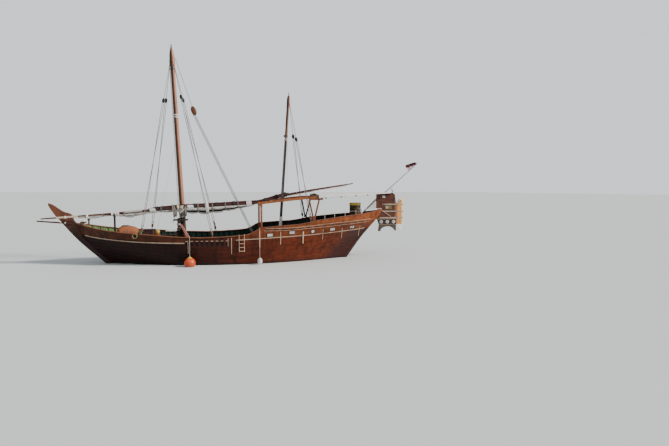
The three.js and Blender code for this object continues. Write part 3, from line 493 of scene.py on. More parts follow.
def hull_zones(tree, used):
    """Dark forward, partly painted shade, red aft, orange above the poop moulding, a patch of painted
    shade low near the sternpost, a damp band at the waterline.
    """
    x, _, z = axes_in(tree)
    drift = times(tree, noise(tree, place_in(tree), 0.9, 4.0), 2.5)
    # the ramp from dark forward to red aft is partly the planks' tone and partly painted shade on the bow
    aft = ramp(tree, plus(tree, x, drift), -2.5, 6.5)
    strake_here = above(tree, x, z, (1.805, 0.0295, 0.0023), 0.2, 0.9)
    rail_here = above(tree, x, z, (2.478, -0.0113, 0.00493), 2.2, 2.4)
    bulwark_here = above(tree, x, z, (1.636, 0.0, 0.0046), -2.6, -3.2)
    grain = used.outputs["Color"]
    dark = tinted(tree, grain, (0.060, 0.040, 0.060))
    red = tinted(tree, grain, (0.46, 0.24, 0.16))
    bulwark = tinted(tree, grain, (0.27, 0.21, 0.17))
    strake_tone = tinted(tree, grain, (0.56, 0.40, 0.28))
    orange = tinted(tree, grain, (0.80, 0.60, 0.38))
    wet = ramp(tree, z, 0.28, 0.02)
    body = blend(tree, aft, dark, red)
    for share, tone in ((bulwark_here, bulwark), (strake_here, strake_tone), (rail_here, orange)):
        body = blend(tree, share, body, tone)
    # painted shade on the low planks near the sternpost, where the hull turns away from the light
    from_post = minus(tree, x, plus(tree, 8.85, times(tree, z, 0.8)))
    shaded = times(tree, ramp(tree, from_post, -2.1, -1.1),
        minus(tree, 0.8, times(tree, strake_here, 0.8)))
    body = blend(tree, shaded, body, (0.030, 0.013, 0.012, 1))
    return blend(tree, times(tree, wet, 0.6), body, (0.012, 0.010, 0.010, 1))


def inside_zones(tree, used):
    """Green paint inside the bulwarks, bright in the bow, with painted shade that deepens it amidships and
    makes it nearly black aft.
    """
    x = axes_in(tree)[0]
    # painted shade: the near bulwark's shadow amidships, and deeper painted shade aft
    fore = blend(tree, ramp(tree, x, -8.6, -5.5), used.outputs["Color"], (0.004, 0.018, 0.015, 1))
    return blend(tree, ramp(tree, x, 1.0, 4.0), fore, (0.007, 0.009, 0.009, 1))


planking = timber("hull_planking", (0.40, 0.150, 0.070), (0.16, 0.050, 0.026), 0.75, 0.34, (0.45, 7, 7),
    0.4, 0.0, hull_zones, 0.16)
inside_paint = painted("bulwark_paint", (0.020, 0.13, 0.022), (0.20, 0.26, 0.09), 0.85, 0.3,
    extra=inside_zones, shine=0.2)
orange_wood = timber("oiled_orange_wood", (0.38, 0.125, 0.036), (0.18, 0.050, 0.016), 0.5, 0.34)
red_wood = timber("oiled_red_wood", (0.22, 0.058, 0.028), (0.085, 0.022, 0.012), 0.6, 0.36)
rail_wood = timber("rail_wood", (0.26, 0.090, 0.038), (0.11, 0.034, 0.016), 0.5, 0.36)
pale_trim = timber("pale_trim", (0.54, 0.40, 0.29), (0.30, 0.19, 0.13), 0.35, 0.5)
dark_wood = timber("tarred_wood", (0.050, 0.030, 0.024), (0.016, 0.010, 0.010), 0.3, 0.4)
deck_wood = timber("deck_boards", (0.26, 0.18, 0.11), (0.13, 0.085, 0.05), 0.5, 0.55)
block_wood = timber("halyard_block_wood", (0.17, 0.065, 0.026), (0.07, 0.024, 0.012), 0.5, 0.4, UPRIGHT)
cream_wood = timber("cream_paint", (0.82, 0.70, 0.48), (0.60, 0.46, 0.28), 0.35, 0.5, UPRIGHT)
grey_wood = timber("weathered_grey_wood", (0.115, 0.098, 0.082), (0.048, 0.041, 0.036), 0.6, 0.65, UPRIGHT)
brace_wood = timber("pink_brown_plank", (0.46, 0.21, 0.17), (0.26, 0.11, 0.09), 0.3, 0.5, UPRIGHT)
white_paint = painted("white_paint", (0.82, 0.81, 0.77), (0.35, 0.25, 0.18), 0.35, 0.2)
black_paint = painted("black_paint", (0.012, 0.013, 0.014), (0.09, 0.05, 0.03), 0.4, 0.2)
yellow_paint = painted("yellow_paint", (0.80, 0.56, 0.09), (0.22, 0.16, 0.06), 0.5, 0.2)
iron = painted("dull_iron", (0.10, 0.10, 0.105), (0.20, 0.09, 0.045), 0.6, 0.3, metal=0.7)
sail_cloth = woven("sail_cloth", (0.46, 0.47, 0.45), 0.9)
awning_cloth = woven("awning_cloth", (0.78, 0.765, 0.75), 0.30)
white_cloth = woven("white_cloth", (0.85, 0.84, 0.82), 0.25)
maroon_cloth = woven("maroon_cloth", (0.075, 0.010, 0.016), 0.2)
pale_rope = laid("pale_rope", (0.66, 0.62, 0.54))
grey_rope = laid("grey_rope", (0.36, 0.35, 0.33))
dark_rope = laid("dark_rope", (0.06, 0.055, 0.05))
tarred_rope = laid("tarred_rope", (0.20, 0.195, 0.18))


def mast_zones(dark_below, light_below, at_zero, lean):
    """A spar that is oiled orange above one height and dark below it, with painted shade darkening its
    fore side.
    """
    def zones(tree, used):
        x, _, z = axes_in(tree)
        fore = minus(tree, plus(tree, at_zero, times(tree, z, lean)), x)
        # painted shade on the fore side, away from the sun
        grain = blend(tree, ramp(tree, fore, -0.08, 0.01), used.outputs["Color"],
            tinted(tree, used.outputs["Color"], (0.15, 0.13, 0.12)))
        dark = tinted(tree, grain, (0.13, 0.10, 0.11))
        return blend(tree, ramp(tree, z, dark_below, light_below), dark, grain)
    return zones


main_mast_wood = timber("main_mast_wood", (0.52, 0.225, 0.125), (0.27, 0.100, 0.056), 0.35, 0.30, UPRIGHT,
    0.2, 0.1, mast_zones(3.9, 4.3, -3.359, -0.0456), 0.4)
mizzen_wood = timber("mizzen_mast_wood", (0.36, 0.135, 0.065), (0.17, 0.058, 0.032), 0.35, 0.30, UPRIGHT,
    0.2, 0.1, mast_zones(8.9, 9.7, 3.688, 0.0705), 0.4)
bare_spar = timber("bare_spar_wood", (0.66, 0.56, 0.44), (0.42, 0.32, 0.24), 0.3, 0.5)
yard_wood = timber("yard_wood", (0.095, 0.024, 0.020), (0.030, 0.010, 0.010), 0.5, 0.36)

# %% [markdown]
# ## The hull's shape
# A boat's surface is a rule, not a heap of points: a widest section, a share of it at each place
# along the hull, and stem and stern lines that the ends lean on. The same few tables give the
# planks, rails and mouldings, so everything that touches the hull follows it exactly.

# %% Lines of the hull
STEM = [(-1.6, -6.6), (-0.8, -7.75), (0, -8.6), (1.0, -9.68), (2.0, -10.6), (3.2, -11.08)]
STERN = [(-1.6, 7.6), (0, 8.85), (1.0, 9.6), (2.0, 10.45), (3.0, 11.4), (4.0, 11.88)]
DECK_LINE = [(-11.0, 2.06), (-8.0, 1.6), (-5.0, 1.28), (-2.0, 1.15), (1.0, 1.13), (4.0, 1.2), (7.0, 1.44),
    (10.0, 1.88), (11.5, 2.2)]
RAIL_LINE = [(-11.08, 3.05), (-8.7, 2.56), (-5.96, 2.31), (-2.74, 2.07), (-1.05, 2.07), (0.73, 2.17),
    (1.3, 2.24), (1.55, 2.33), (1.8, 2.47), (2.05, 2.62), (2.3, 2.72), (3.3, 2.8), (4.4, 2.855),
    (5.35, 2.94), (5.95, 3.09), (6.45, 3.165), (7.1, 3.24), (7.8, 3.34), (8.7, 3.44), (9.6, 3.52),
    (10.4, 3.6), (11.1, 3.69), (11.9, 3.83)]
POOP_LINE = [(2.3, 2.29), (4.0, 2.4), (6.0, 2.5), (8.0, 2.63), (10.0, 2.81), (11.5, 2.98)]
FOREDECK_LINE = [(-11.2, 2.42), (-8.7, 2.02), (-6.4, 1.84)]
POOP_MOULDING = [(0.45, 1.82), (2.12, 1.89), (3.67, 1.96), (5.38, 2.03), (6.94, 2.12), (8.56, 2.23),
    (10.16, 2.33), (10.9, 2.4)]
BOW_MOULDING = [(-11.1, 2.35), (-9.96, 2.06), (-8.21, 1.85), (-6.97, 1.76), (-5.54, 1.69), (-4.15, 1.66),
    (-2.76, 1.64), (-1.0, 1.62)]
WIDEST = [(-1.6, 0.16), (-1.43, 0.8), (-1.19, 1.4), (-0.86, 1.9), (-0.44, 2.3), (0.05, 2.56), (0.6, 2.72),
    (1.15, 2.82), (2.06, 2.92), (2.8, 2.96), (4.0, 3.0)]
STATIONS = [-10.7, -10.45, -10.0, -9.3, -8.4, -7.4, -6.65, -4.9, -3.5, -2.0, -0.6, 0.6, 1.05, 1.3, 1.55,
    1.8, 2.05, 2.3, 3.5, 4.8, 5.4, 6.1, 7.3, 8.3, 9.1, 9.75, 10.2, 10.5, 10.65]
KEEL_TOP, POST_HALF, WALL, CAP = -1.6, 0.10, 0.12, 0.06
SEAT_GAP, TRIM_GAP, EDGE, LEAST_HALF = 0.0003, 0.0005, 0.0005, 0.0035
POOP_FORE = 2.3
NOMINAL = 2.2
HANDS = [("port", -1), ("starboard", 1)]


def straight(table, x):
    return float(np.interp(x, [row[0] for row in table], [row[1] for row in table]))


def smooth(table, x):
    last = len(table) - 1
    if x <= table[0][0]:
        return table[0][1]
    if x >= table[last][0]:
        return table[last][1]
    i = next(k for k in range(last) if x < table[k + 1][0])

    def slope(a, b):
        return (table[b][1] - table[a][1]) / (table[b][0] - table[a][0])

    before, after = slope(max(i - 1, 0), i + 1), slope(i, min(i + 2, last))
    span = table[i + 1][0] - table[i][0]
    t = (x - table[i][0]) / span
    return ((2 * t**3 - 3 * t**2 + 1) * table[i][1] + (t**3 - 2 * t**2 + t) * span * before
        + (3 * t**2 - 2 * t**3) * table[i + 1][1] + (t**3 - t**2) * span * after)


def reading(table, k, x):
    """Column k of a table whose first column is x."""
    return smooth([(row[0], row[k]) for row in table], x)


def stem_x(z):
    k = max(0.0, z - STEM[-1][0]) * (STEM[-1][1] - STEM[-2][1]) / (STEM[-1][0] - STEM[-2][0])
    return straight(STEM, z) + k


def stern_x(z):
    return straight(STERN, z)


def station_x(place, z):
    bow = min(1.0, max(0.0, 1 - (place - stem_x(NOMINAL)) / 9.0) ** 1.5)
    stern = min(1.0, max(0.0, 1 - (stern_x(NOMINAL) - place) / 8.0) ** 1.5)
    return place + bow * (stem_x(z) - stem_x(NOMINAL)) + stern * (stern_x(z) - stern_x(NOMINAL))


def half_breadth(x, z):
    along = min(1.0, max(0.0, (x - stem_x(z)) / (stern_x(z) - stem_x(z))))
    rise = min(1.0, max(0.0, (z - KEEL_TOP) / 4.6))
    share = (1 - abs(2 * along - 1) ** (1.9 + 0.7 * rise)) ** (1.5 - 0.72 * rise)
    return POST_HALF + (smooth(WIDEST, z) - POST_HALF) * share


def height_on(place, line):
    z = NOMINAL
    for _ in range(12):
        z = line(station_x(place, z))
    return z


def clamp_place(place):
    return min(max(place, stem_x(NOMINAL)), stern_x(NOMINAL))


def run_of(places, table):
    """The straight run that decks and rails make from station to station, as x and height."""
    found = []
    for place in places:
        z = height_on(place, lambda x: smooth(table, x))
        found.append((station_x(place, z), z))
    return found


PLACES = [clamp_place(p) for p in STATIONS]
deck_run, rail_run = run_of(PLACES, DECK_LINE), run_of(PLACES, RAIL_LINE)
poop_run = run_of(PLACES[17:-2], POOP_LINE)
foredeck_run = run_of(PLACES[1:7], FOREDECK_LINE)


def deck_z(x):
    return straight(deck_run, x)


def rail_z(x):
    return straight(rail_run, x)


def moulding_z(x):
    """The long moulding's height, carried on forward in line with the rail."""
    return smooth(POOP_MOULDING, x) if x > 0.45 else rail_z(x) - 0.31


def fine_places(first, last, step=0.22):
    """Station places close enough for a smooth curve, with the model's own stations kept."""
    own = [p for p in PLACES if first < p < last]
    even = list(np.arange(first, last, step))
    keep = sorted(own + [p for p in even if all(abs(p - q) > 0.08 for q in own + [first])] + [first, last])
    return sorted(set(keep))


def on_hull(x, z, hand, out=0.0):
    """A point on the planking, moved outwards along its normal, with that normal."""
    dx = (half_breadth(x + 0.02, z) - half_breadth(x - 0.02, z)) / 0.04
    dz = (half_breadth(x, z + 0.02) - half_breadth(x, z - 0.02)) / 0.04
    normal = Vector((-dx, 1.0, -dz)).normalized()
    normal.y *= hand
    point = Vector((x, hand * half_breadth(x, z), z)) + out * normal
    return point, normal


print("rail at the waist", round(rail_z(-2), 3), "at the poop", round(rail_z(5), 3))

# %% [markdown]
# ## Planking
# The hull is carvel built: planks lie edge to edge and the caulked seams show as fine lines. Each
# strake here is a closed board of its own that runs from stem to stern, with its outer edges taken
# off, so every seam is a real groove. A seam drawn only in the finish would vanish in the mesh.

# %% Strakes from keel to rail
def strake(places, low, high, thick, hand, groove=0.007):
    """One plank between two height rules. Its outer edges are chamfered by the seam's size."""
    rings = []
    for place in places:
        z0, z1 = low(place), high(place)
        c = min(groove, (z1 - z0) * 0.3)
        middle = (z0 + z1) / 2
        outer = [(z0 + EDGE, groove), (z0 + c, 0), (middle, 0), (z1 - c, 0), (z1 - EDGE, groove)]
        ring = []
        for z, depth in outer + [(z1 - EDGE, thick), (middle, thick), (z0 + EDGE, thick)]:
            x = station_x(place, z)
            ring.append((x, hand * max(half_breadth(x, z) - depth, LEAST_HALF), z))
        rings.append(ring)
    return loft(rings, 0, lambda j: 1 if j in (5, 6) else 0)


def between(low_rule, high_rule, share):
    return lambda place: low_rule(place) + (high_rule(place) - low_rule(place)) * share


heights = {}


def height_rule(name, table):
    """Height of a line at a station place, worked out once for each place."""
    def rule(place):
        key = (name, round(place, 5))
        if key not in heights:
            heights[key] = height_on(place, table)
        return heights[key]
    return rule


deck_rule = height_rule("deck", deck_z)
wall_top = height_rule("rail", lambda x: rail_z(x) - CAP - 0.0006)
moulding_rule = height_rule("moulding", moulding_z)
HULL_STRAKES = 15
SECTION = [0, 0.06, 0.15, 0.27, 0.42, 0.6, 0.8, 1]


def hull_share(k):
    return float(np.interp(k / HULL_STRAKES * 7, range(8), SECTION))


def keel_rule(_):
    return KEEL_TOP


def hull_rule(share):
    return between(keel_rule, deck_rule, share)


def courses(places, low, high, hand):
    """Four strakes of equal height between two height rules."""
    rules = [between(low, high, k / 4) for k in range(5)]
    return [strake(places, a, b, 0.06, hand) for a, b in zip(rules, rules[1:])]


whole = fine_places(PLACES[0], PLACES[-1], 0.3)
fore_part = [p for p in whole if p < POOP_FORE] + [POOP_FORE]
poop_part = [POOP_FORE + SEAT_GAP] + [p for p in whole if p > POOP_FORE + 0.02]
for side, hand in HANDS:
    rules = [hull_rule(hull_share(k)) for k in range(HULL_STRAKES + 1)]
    planks = [strake(whole, low, high, 0.07, hand) for low, high in zip(rules, rules[1:])]
    piece(f"hull_planks_{side}", planks, [planking, dark_wood], slot="dark_planks", replaces=["hull"])
    waist = courses(fore_part, deck_rule, wall_top, hand)
    piece(f"bulwark_planks_{side}", waist, [planking, inside_paint], slot="dark_planks",
        replaces=[f"bulwark_{side}"])
    topsides = courses(poop_part, deck_rule, moulding_rule, hand) + courses(poop_part, moulding_rule,
        wall_top, hand)
    piece(f"poop_planks_{side}", topsides, [planking, inside_paint], slot="red_planks",
        replaces=[f"poop_side_{side}"])
print("strakes a side", HULL_STRAKES + 4 + 8, "stations", len(whole))

# %% [markdown]
# The cap rail and the mouldings are long boards that follow the same surface. Their sections are
# lofted at the same close stations, with rounded edges, and stand a little proud of the planks.

# %% Cap rails and mouldings
def cap_ring(place, hand):
    top = height_on(place, rail_z)
    x = station_x(place, top - CAP / 2)
    y_out = half_breadth(x, top - CAP / 2) + 0.04
    y_in = max(y_out - WALL - 0.08, LEAST_HALF)
    c = min(0.014, (y_out - y_in) * 0.3)
    section = [(y_out - c, 0), (y_out, c), (y_out, CAP - c), (y_out - c, CAP), (y_in + c, CAP),
        (y_in, CAP - c), (y_in, c), (y_in + c, 0)]
    return [(x, hand * y, top - CAP + h) for y, h in section]


def moulding_strip(table, first, last, high, proud, hand, base=0.001):
    """A half-round strip on the planking along a line of x and height."""
    rings = []
    for x in np.arange(first, last + 0.001, (last - first) / round((last - first) / 0.25)):
        z = smooth(table, x)
        ring = []
        for lift, share in [(-0.5, 0), (-0.5, 0.6), (-0.3, 1), (0.3, 1), (0.5, 0.6), (0.5, 0)]:
            level = z + lift * high
            ring.append((x, hand * (half_breadth(x, level) + base + proud * share), level))
        rings.append(ring)
    return loft(rings)


def moulding(name, side, hand, *sizes, **kept):
    piece(f"{name}_{side}", moulding_strip(*sizes, hand), pale_trim, slot="orange_wood", **kept)


for side, hand in HANDS:
    piece(f"cap_rail_board_{side}", loft([cap_ring(p, hand) for p in whole]), rail_wood,
        slot="orange_wood", replaces=[f"cap_rail_{side}"])
    moulding("poop_moulding_strip", side, hand, POOP_MOULDING, 0.45, 10.6, 0.07, 0.045,
        replaces=[f"poop_moulding_{side}"])
    moulding("bow_moulding_strip", side, hand, BOW_MOULDING, -10.35, -3.15, 0.08, 0.05,
        replaces=[f"bow_moulding_{side}"])

# %% [markdown]
# ## What repeats
# Frames, slots, nail heads and gaskets sit by rule at many places. Copying meshes in a loop would
# do, but a Geometry Nodes tree keeps the rule in one spot: it takes points that carry a direction,
# an outward side and a size, puts the pattern on each, and realizes the instances as real faces.

# %% A tree that puts a pattern on every place
def new_tree(name, inputs):
    made = bpy.data.node_groups.new(name, "GeometryNodeTree")
    ids = {}
    for label, kind in inputs:
        socket = made.interface.new_socket(name=label, in_out="INPUT", socket_type="NodeSocket" + kind)
        ids[label] = socket.identifier
    made.interface.new_socket(name="Geometry", in_out="OUTPUT", socket_type="NodeSocketGeometry")
    return made, ids, made.nodes.new("NodeGroupInput").outputs, made.nodes.new("NodeGroupOutput").inputs


def carried(made, label):
    return add_node(made, "GeometryNodeInputNamedAttribute", {"Name": label},
        data_type="FLOAT_VECTOR").outputs["Attribute"]


repeat_tree, repeat_ids, given, result = new_tree("repeat_at_places", [("Places", "Geometry"),
    ("Pattern", "Object"), ("Spread", "Float"), ("Seed", "Int"), ("Finish", "Material")])
tree = repeat_tree
turn = add_node(tree, "FunctionNodeAxesToRotation", {"Primary Axis": carried(tree, "along"),
    "Secondary Axis": carried(tree, "out")}, primary_axis="X", secondary_axis="Z")
least, most = minus(tree, 1.0, given["Spread"]), plus(tree, 1.0, given["Spread"])
chance = add_node(tree, "FunctionNodeRandomValue", {2: least, 3: most, "Seed": given["Seed"]},
    data_type="FLOAT").outputs[1]
size = add_node(tree, "ShaderNodeVectorMath", {0: carried(tree, "size"), "Scale": chance},
    operation="SCALE").outputs[0]
shape = add_node(tree, "GeometryNodeObjectInfo", {"Object": given["Pattern"]}).outputs["Geometry"]
placed = add_node(tree, "GeometryNodeInstanceOnPoints",
    {"Points": given["Places"], "Instance": shape, "Rotation": turn.outputs[0], "Scale": size}).outputs[0]
real = add_node(tree, "GeometryNodeRealizeInstances", {0: placed}).outputs[0]
tree.links.new(add_node(tree, "GeometryNodeSetMaterial",
    {"Geometry": real, "Material": given["Finish"]}).outputs[0], result[0])

# %% A tree that runs a squared timber along every path
timber_tree, timber_ids, given, result = new_tree("timber_along_paths",
    [("Paths", "Geometry"), ("Wide", "Float"), ("Deep", "Float"), ("Finish", "Material")])
tree = timber_tree
curves = add_node(tree, "GeometryNodeMeshToCurve", {0: given["Paths"]}).outputs[0]
upright = add_node(tree, "GeometryNodeSetCurveNormal", {"Curve": curves, "Normal": carried(tree, "out")},
    mode="FREE").outputs[0]
section = add_node(tree, "GeometryNodeCurvePrimitiveQuadrilateral",
    {"Width": given["Wide"], "Height": given["Deep"]}).outputs[0]
eased = add_node(tree, "GeometryNodeFilletCurve",
    {"Curve": section, "Radius": 0.008, "Limit Radius": True}).outputs[0]
swept = add_node(tree, "GeometryNodeCurveToMesh",
    {"Curve": upright, "Profile Curve": eased, "Fill Caps": True}).outputs[0]
tree.links.new(add_node(tree, "GeometryNodeSetMaterial",
    {"Geometry": swept, "Material": given["Finish"]}).outputs[0], result[0])


# %% From a tree to a plain mesh
def grow(name, tree, ids, mesh, values, **kept):
    """Runs a tree on a mesh, keeps the result as a plain mesh and puts it on a body."""
    holder = new_object(name + "_holder", mesh)
    modifier = holder.modifiers.new("rule", "NODES")
    modifier.node_group = tree
    for label, value in values.items():
        modifier[ids[label]] = value
    bpy.context.view_layer.update()
    made = bpy.data.meshes.new_from_object(holder.evaluated_get(bpy.context.evaluated_depsgraph_get()))
    bpy.data.objects.remove(holder)
    made.name = name
    return put_on_body(name, made, merge=1e-6, **kept)


def carry(mesh, **columns):
    for label, rows in columns.items():
        mesh.attributes.new(label, "FLOAT_VECTOR", "POINT").data.foreach_set("vector",
            [float(c) for row in rows for c in row])


def repeat(name, pattern, places, finish, spread=0.0, seed=1, **kept):
    """Puts a pattern part at each place: a point, a direction, an outward side and a size."""
    mesh = bpy.data.meshes.new(name + "_places")
    mesh.from_pydata([tuple(p[0]) for p in places], [], [])
    carry(mesh, along=[p[1] for p in places], out=[p[2] for p in places], size=[p[3] for p in places])
    shape = bpy.data.meshes.new(name + "_pattern")
    shape.from_pydata(pattern["points"], [], pattern["faces"])
    stamp = new_object(name + "_pattern", shape)
    values = {"Pattern": stamp, "Spread": spread, "Seed": seed, "Finish": finish}
    made = grow(name, repeat_tree, repeat_ids, mesh, values, **kept)
    bpy.data.objects.remove(stamp)
    return made


def timbers(name, paths, outs, wide, deep, finish, **kept):
    """Runs one squared timber along each path; outs are the directions of its outer face."""
    mesh = bpy.data.meshes.new(name + "_paths")
    starts = np.cumsum([0] + [len(p) for p in paths])
    edges = [(int(s) + i, int(s) + i + 1) for s, p in zip(starts, paths) for i in range(len(p) - 1)]
    mesh.from_pydata([tuple(q) for p in paths for q in p], edges, [])
    carry(mesh, out=[n for row in outs for n in row])
    return grow(name, timber_tree, timber_ids, mesh,
        {"Wide": wide, "Deep": deep, "Finish": finish}, **kept)


print("trees", repeat_tree.name, timber_tree.name)

# %% [markdown]
# ## Frames and decks
# Inside the bulwarks the ends of the ribs show, one every forty-five centimetres. They follow the
# planking from the deck to the rail, so they are swept along paths on its inner face. The decks are
# laid in boards that run fore and aft and are cut where they meet the side.

# %% Ribs inside the bulwarks
RIB_PITCH, RIB_WIDE, RIB_DEEP, PLANK_THICK = 0.45, 0.11, 0.055, 0.06


def rib_path(place, hand, low):
    """A path up the inner face of the planking, with the outward side at each point."""
    bottom, top = low(place) + 0.01, wall_top(place) - 0.01
    path, outs = [], []
    for z in np.linspace(bottom, top, 5):
        x = station_x(place, z)
        path.append((x, hand * (half_breadth(x, z) - PLANK_THICK - RIB_DEEP / 2 + 0.004), z))
        outs.append((0, hand, 0))
    return path, outs


for side, hand in HANDS:
    for part_name, first, last in [("bulwark", -9.9, 2.15), ("poop", 2.6, 9.6)]:
        found = [rib_path(place, hand, deck_rule) for place in np.arange(first, last, RIB_PITCH)]
        timbers(f"{part_name}_ribs_{side}", [f[0] for f in found], [f[1] for f in found], RIB_WIDE,
            RIB_DEEP, inside_paint, slot="dark_planks")


# %% Deck boards
def inner_half(x, z):
    return max(half_breadth(x, z) - WALL, 0.02)


def boards(run, first, last, wide, thick, margin, gap=0.006):
    """Fore-and-aft boards on a run of x and height, each cut where it meets the side."""
    xs = sorted({first, last, *[x for x, _ in run if first < x < last], *np.arange(first, last, 0.5)})
    limit = {x: inner_half(x, straight(run, x)) - margin for x in xs}
    parts = []
    count = int(max(limit.values()) / wide) + 1
    for k in range(-count, count):
        low, high = k * wide, (k + 1) * wide
        inner = min(abs(low), abs(high))
        kept = [x for x in xs if limit[x] > inner + 0.03]
        if len(kept) < 2:
            continue
        rings = []
        for x in kept:
            a, b = max(low + gap / 2, -limit[x]), min(high - gap / 2, limit[x])
            z = straight(run, x)
            c = 0.004
            rings.append([(x, a, z - thick), (x, b, z - thick), (x, b, z - c), (x, b - c, z),
                (x, a + c, z), (x, a, z - c)])
        parts.append(loft(rings))
    return parts


main_boards = boards(deck_run, -10.15, 10.3, 0.17, 0.04, 0.0)
piece("main_deck_boards", main_boards, deck_wood, slot="deck_wood")
piece("poop_deck_boards", boards(poop_run, 2.3, 10.3, 0.16, 0.06, 0.03), deck_wood, slot="deck_wood",
    replaces=["poop_deck"])
FOREDECK_EDGE = station_x(-6.65, smooth(FOREDECK_LINE, -6.65))
fore_boards = boards(foredeck_run, -10.35, FOREDECK_EDGE, 0.16, 0.06, 0.03)
edge_z = smooth(FOREDECK_LINE, FOREDECK_EDGE)
edge_half = inner_half(FOREDECK_EDGE, 1.4) - 0.05
fore_boards.append(block((FOREDECK_EDGE - 0.07, -edge_half, deck_z(FOREDECK_EDGE) + 0.001),
    (FOREDECK_EDGE - 0.002, edge_half, edge_z - 0.05)))
piece("foredeck_boards", fore_boards, deck_wood, slot="deck_wood", replaces=["foredeck"])
print("deck boards", len(main_boards))

# %% [markdown]
# ## Stem, sternpost and keel
# The stem is one great timber with a raised head that curls forward. Its outline is cut from a
# plank, so it is drawn once as a profile and given its thickness, with the arris taken off.

# %% The posts
BOW_RAIL = height_on(PLACES[0], rail_z)
STERN_RAIL = height_on(PLACES[-1], rail_z)


def curved(points, rounds=2):
    """Rounds the corners of an open line by cutting them again and again."""
    for _ in range(rounds):
        cut = [points[0]]
        for a, b in zip(points, points[1:]):
            cut.append(tuple(0.75 * p + 0.25 * q for p, q in zip(a, b)))
            cut.append(tuple(0.25 * p + 0.75 * q for p, q in zip(a, b)))
        points = cut + [points[-1]]
    return points


head_front = [(-11.15, 3.2), (-11.23, 3.46), (-11.27, 3.61), (-11.43, 3.73), (-11.87, 3.85),
    (-12.17, 4.07), (-12.51, 4.34), (-12.84, 4.48)]
head_back = [(-12.85, 4.33), (-12.63, 3.92), (-12.34, 3.48), (-12.07, 3.21), (-11.81, 2.84),
    (-11.35, 2.27), (-10.57, 1.39), (-9.03, 0), (-8.15, -0.85), (-7.6, -1.4), (-7.15, -1.75), (-6.9, -1.9)]
stem_line = [(stem_x(z) - SEAT_GAP, z) for z in np.linspace(KEEL_TOP, BOW_RAIL, 10)]
stem_outline = stem_line + curved(head_front) + curved(head_back) + [(-6.6003, -1.9)]


def post_zones(tree, used):
    """Oiled wood, brighter at the head and darker lower down."""
    z = axes_in(tree)[2]
    dark = tinted(tree, used.outputs["Color"], (0.14, 0.125, 0.13))
    middle = tinted(tree, used.outputs["Color"], (0.34, 0.31, 0.31))
    lower = blend(tree, ramp(tree, z, 1.9, 2.5), dark, middle)
    return blend(tree, ramp(tree, z, 3.15, 3.45), lower, used.outputs["Color"])


stem_wood = timber("stem_wood", (0.20, 0.072, 0.035), (0.092, 0.029, 0.016), 0.35, 0.36, (2, 7, 2),
    extra=post_zones)
piece("stem_timber", plate(stem_outline, POST_HALF, 0.014), stem_wood, slot="orange_wood",
    replaces=["stem_post"])
STERN_TOP = 3.9
stern_back = [(7.6003, -1.9), (7.85, -1.9), (7.95, -1.75), (9.18, 0), (10.3, 1.56), (11.0, 2.35),
    (11.65, 3.05), (12.15, 3.8)]
stern_line = [(stern_x(z) + SEAT_GAP, z) for z in np.linspace(STERN_RAIL, KEEL_TOP, 10)]
stern_outline = stern_back[:2] + curved(stern_back[2:], 1) + [(12.15, STERN_TOP),
    (stern_line[0][0], STERN_TOP)] + stern_line
stern_wood = timber("sternpost_wood", (0.42, 0.160, 0.075), (0.18, 0.060, 0.03), 0.6, 0.42, (2, 7, 2),
    extra=hull_zones)
piece("stern_timber", plate(stern_outline, POST_HALF, 0.012), stern_wood, slot="red_planks",
    replaces=["stern_post"])
piece("keel_timber", block((-6.5997, -POST_HALF, -1.9), (7.5997, POST_HALF, -1.6003), 0.012), dark_wood,
    slot="dark_planks", replaces=["keel"])
print("stem height", round(max(z for _, z in stem_outline), 2))

# %% [markdown]
# ## Masts and yard
# Masts taper, so a lathe section at a few heights, joined smoothly, gives their form. The main mast
# ends in a thick head with a sheave, and both carry iron hoops, white bands and a small truck. The
# yard is a long bent spar of two lapped poles, so it is swept along the smooth line of its table.

# %% The masts
MAIN_RAKE = -0.0456


def main_x(z):
    return -3.44 + MAIN_RAKE * (z - 1.78)


def mizzen_x(z):
    return 3.85 + 0.0705 * (z - 2.3)


def standing(rows, lean, sides=28, finish=0):
    """A mast from rows of height and radius, leaning as its rule says, with level rings."""
    rings = []
    for z, r in rows:
        around = np.linspace(0, 2 * pi, sides, endpoint=False)
        rings.append([(lean(z) + r * cos(a), r * sin(a), z) for a in around])
    return loft(rings, finish)


def hoop(lean, z, high, r, finish):
    return standing([(z - high / 2, r - 0.006), (z - high / 2 + 0.008, r), (z + high / 2 - 0.008, r),
        (z + high / 2, r - 0.006)], lean, finish=finish)


MAIN_RADII = [(1.16, 0.205), (4.0, 0.195), (9.0, 0.175), (14.0, 0.152), (14.45, 0.153)]
MAIN_HEAD = [(14.62, 0.168), (14.8, 0.188), (15.0, 0.194), (15.25, 0.188), (15.5, 0.164), (15.7, 0.128),
    (15.86, 0.085), (15.98, 0.05), (16.17, 0.034), (16.2, 0.026)]
mast_foot = deck_z(main_x(1.2)) + SEAT_GAP
main_rows = [(mast_foot, 0.205)] + [(z, straight(MAIN_RADII, z))
    for z in np.arange(1.5, 14.55, 0.5)] + MAIN_HEAD
main_parts = [standing(main_rows, main_x)]
for z in (10.86, 11.02):
    main_parts.append(hoop(main_x, z, 0.09, straight(MAIN_RADII, z) + 0.012, 1))
for z in (2.05, 3.2, 14.4):
    main_parts.append(hoop(main_x, z, 0.07, straight(MAIN_RADII, z) + 0.010, 2))
cheek_z, cheek_r = 15.12, 0.06
main_parts += [block((main_x(cheek_z) - 0.10, s * 0.175, cheek_z - 0.28),
    (main_x(cheek_z) + 0.10, s * 0.215, cheek_z + 0.22), 0.015) for s in (-1, 1)]
main_parts.append(turned([(0.001, -0.225), (cheek_r, -0.22), (cheek_r, 0.22), (0.001, 0.225)],
    (main_x(cheek_z), 0, cheek_z), 16, "Y", 2))
piece("main_mast_spar", main_parts, [main_mast_wood, white_paint, iron], slot="mast_wood",
    replaces=["main_mast"])

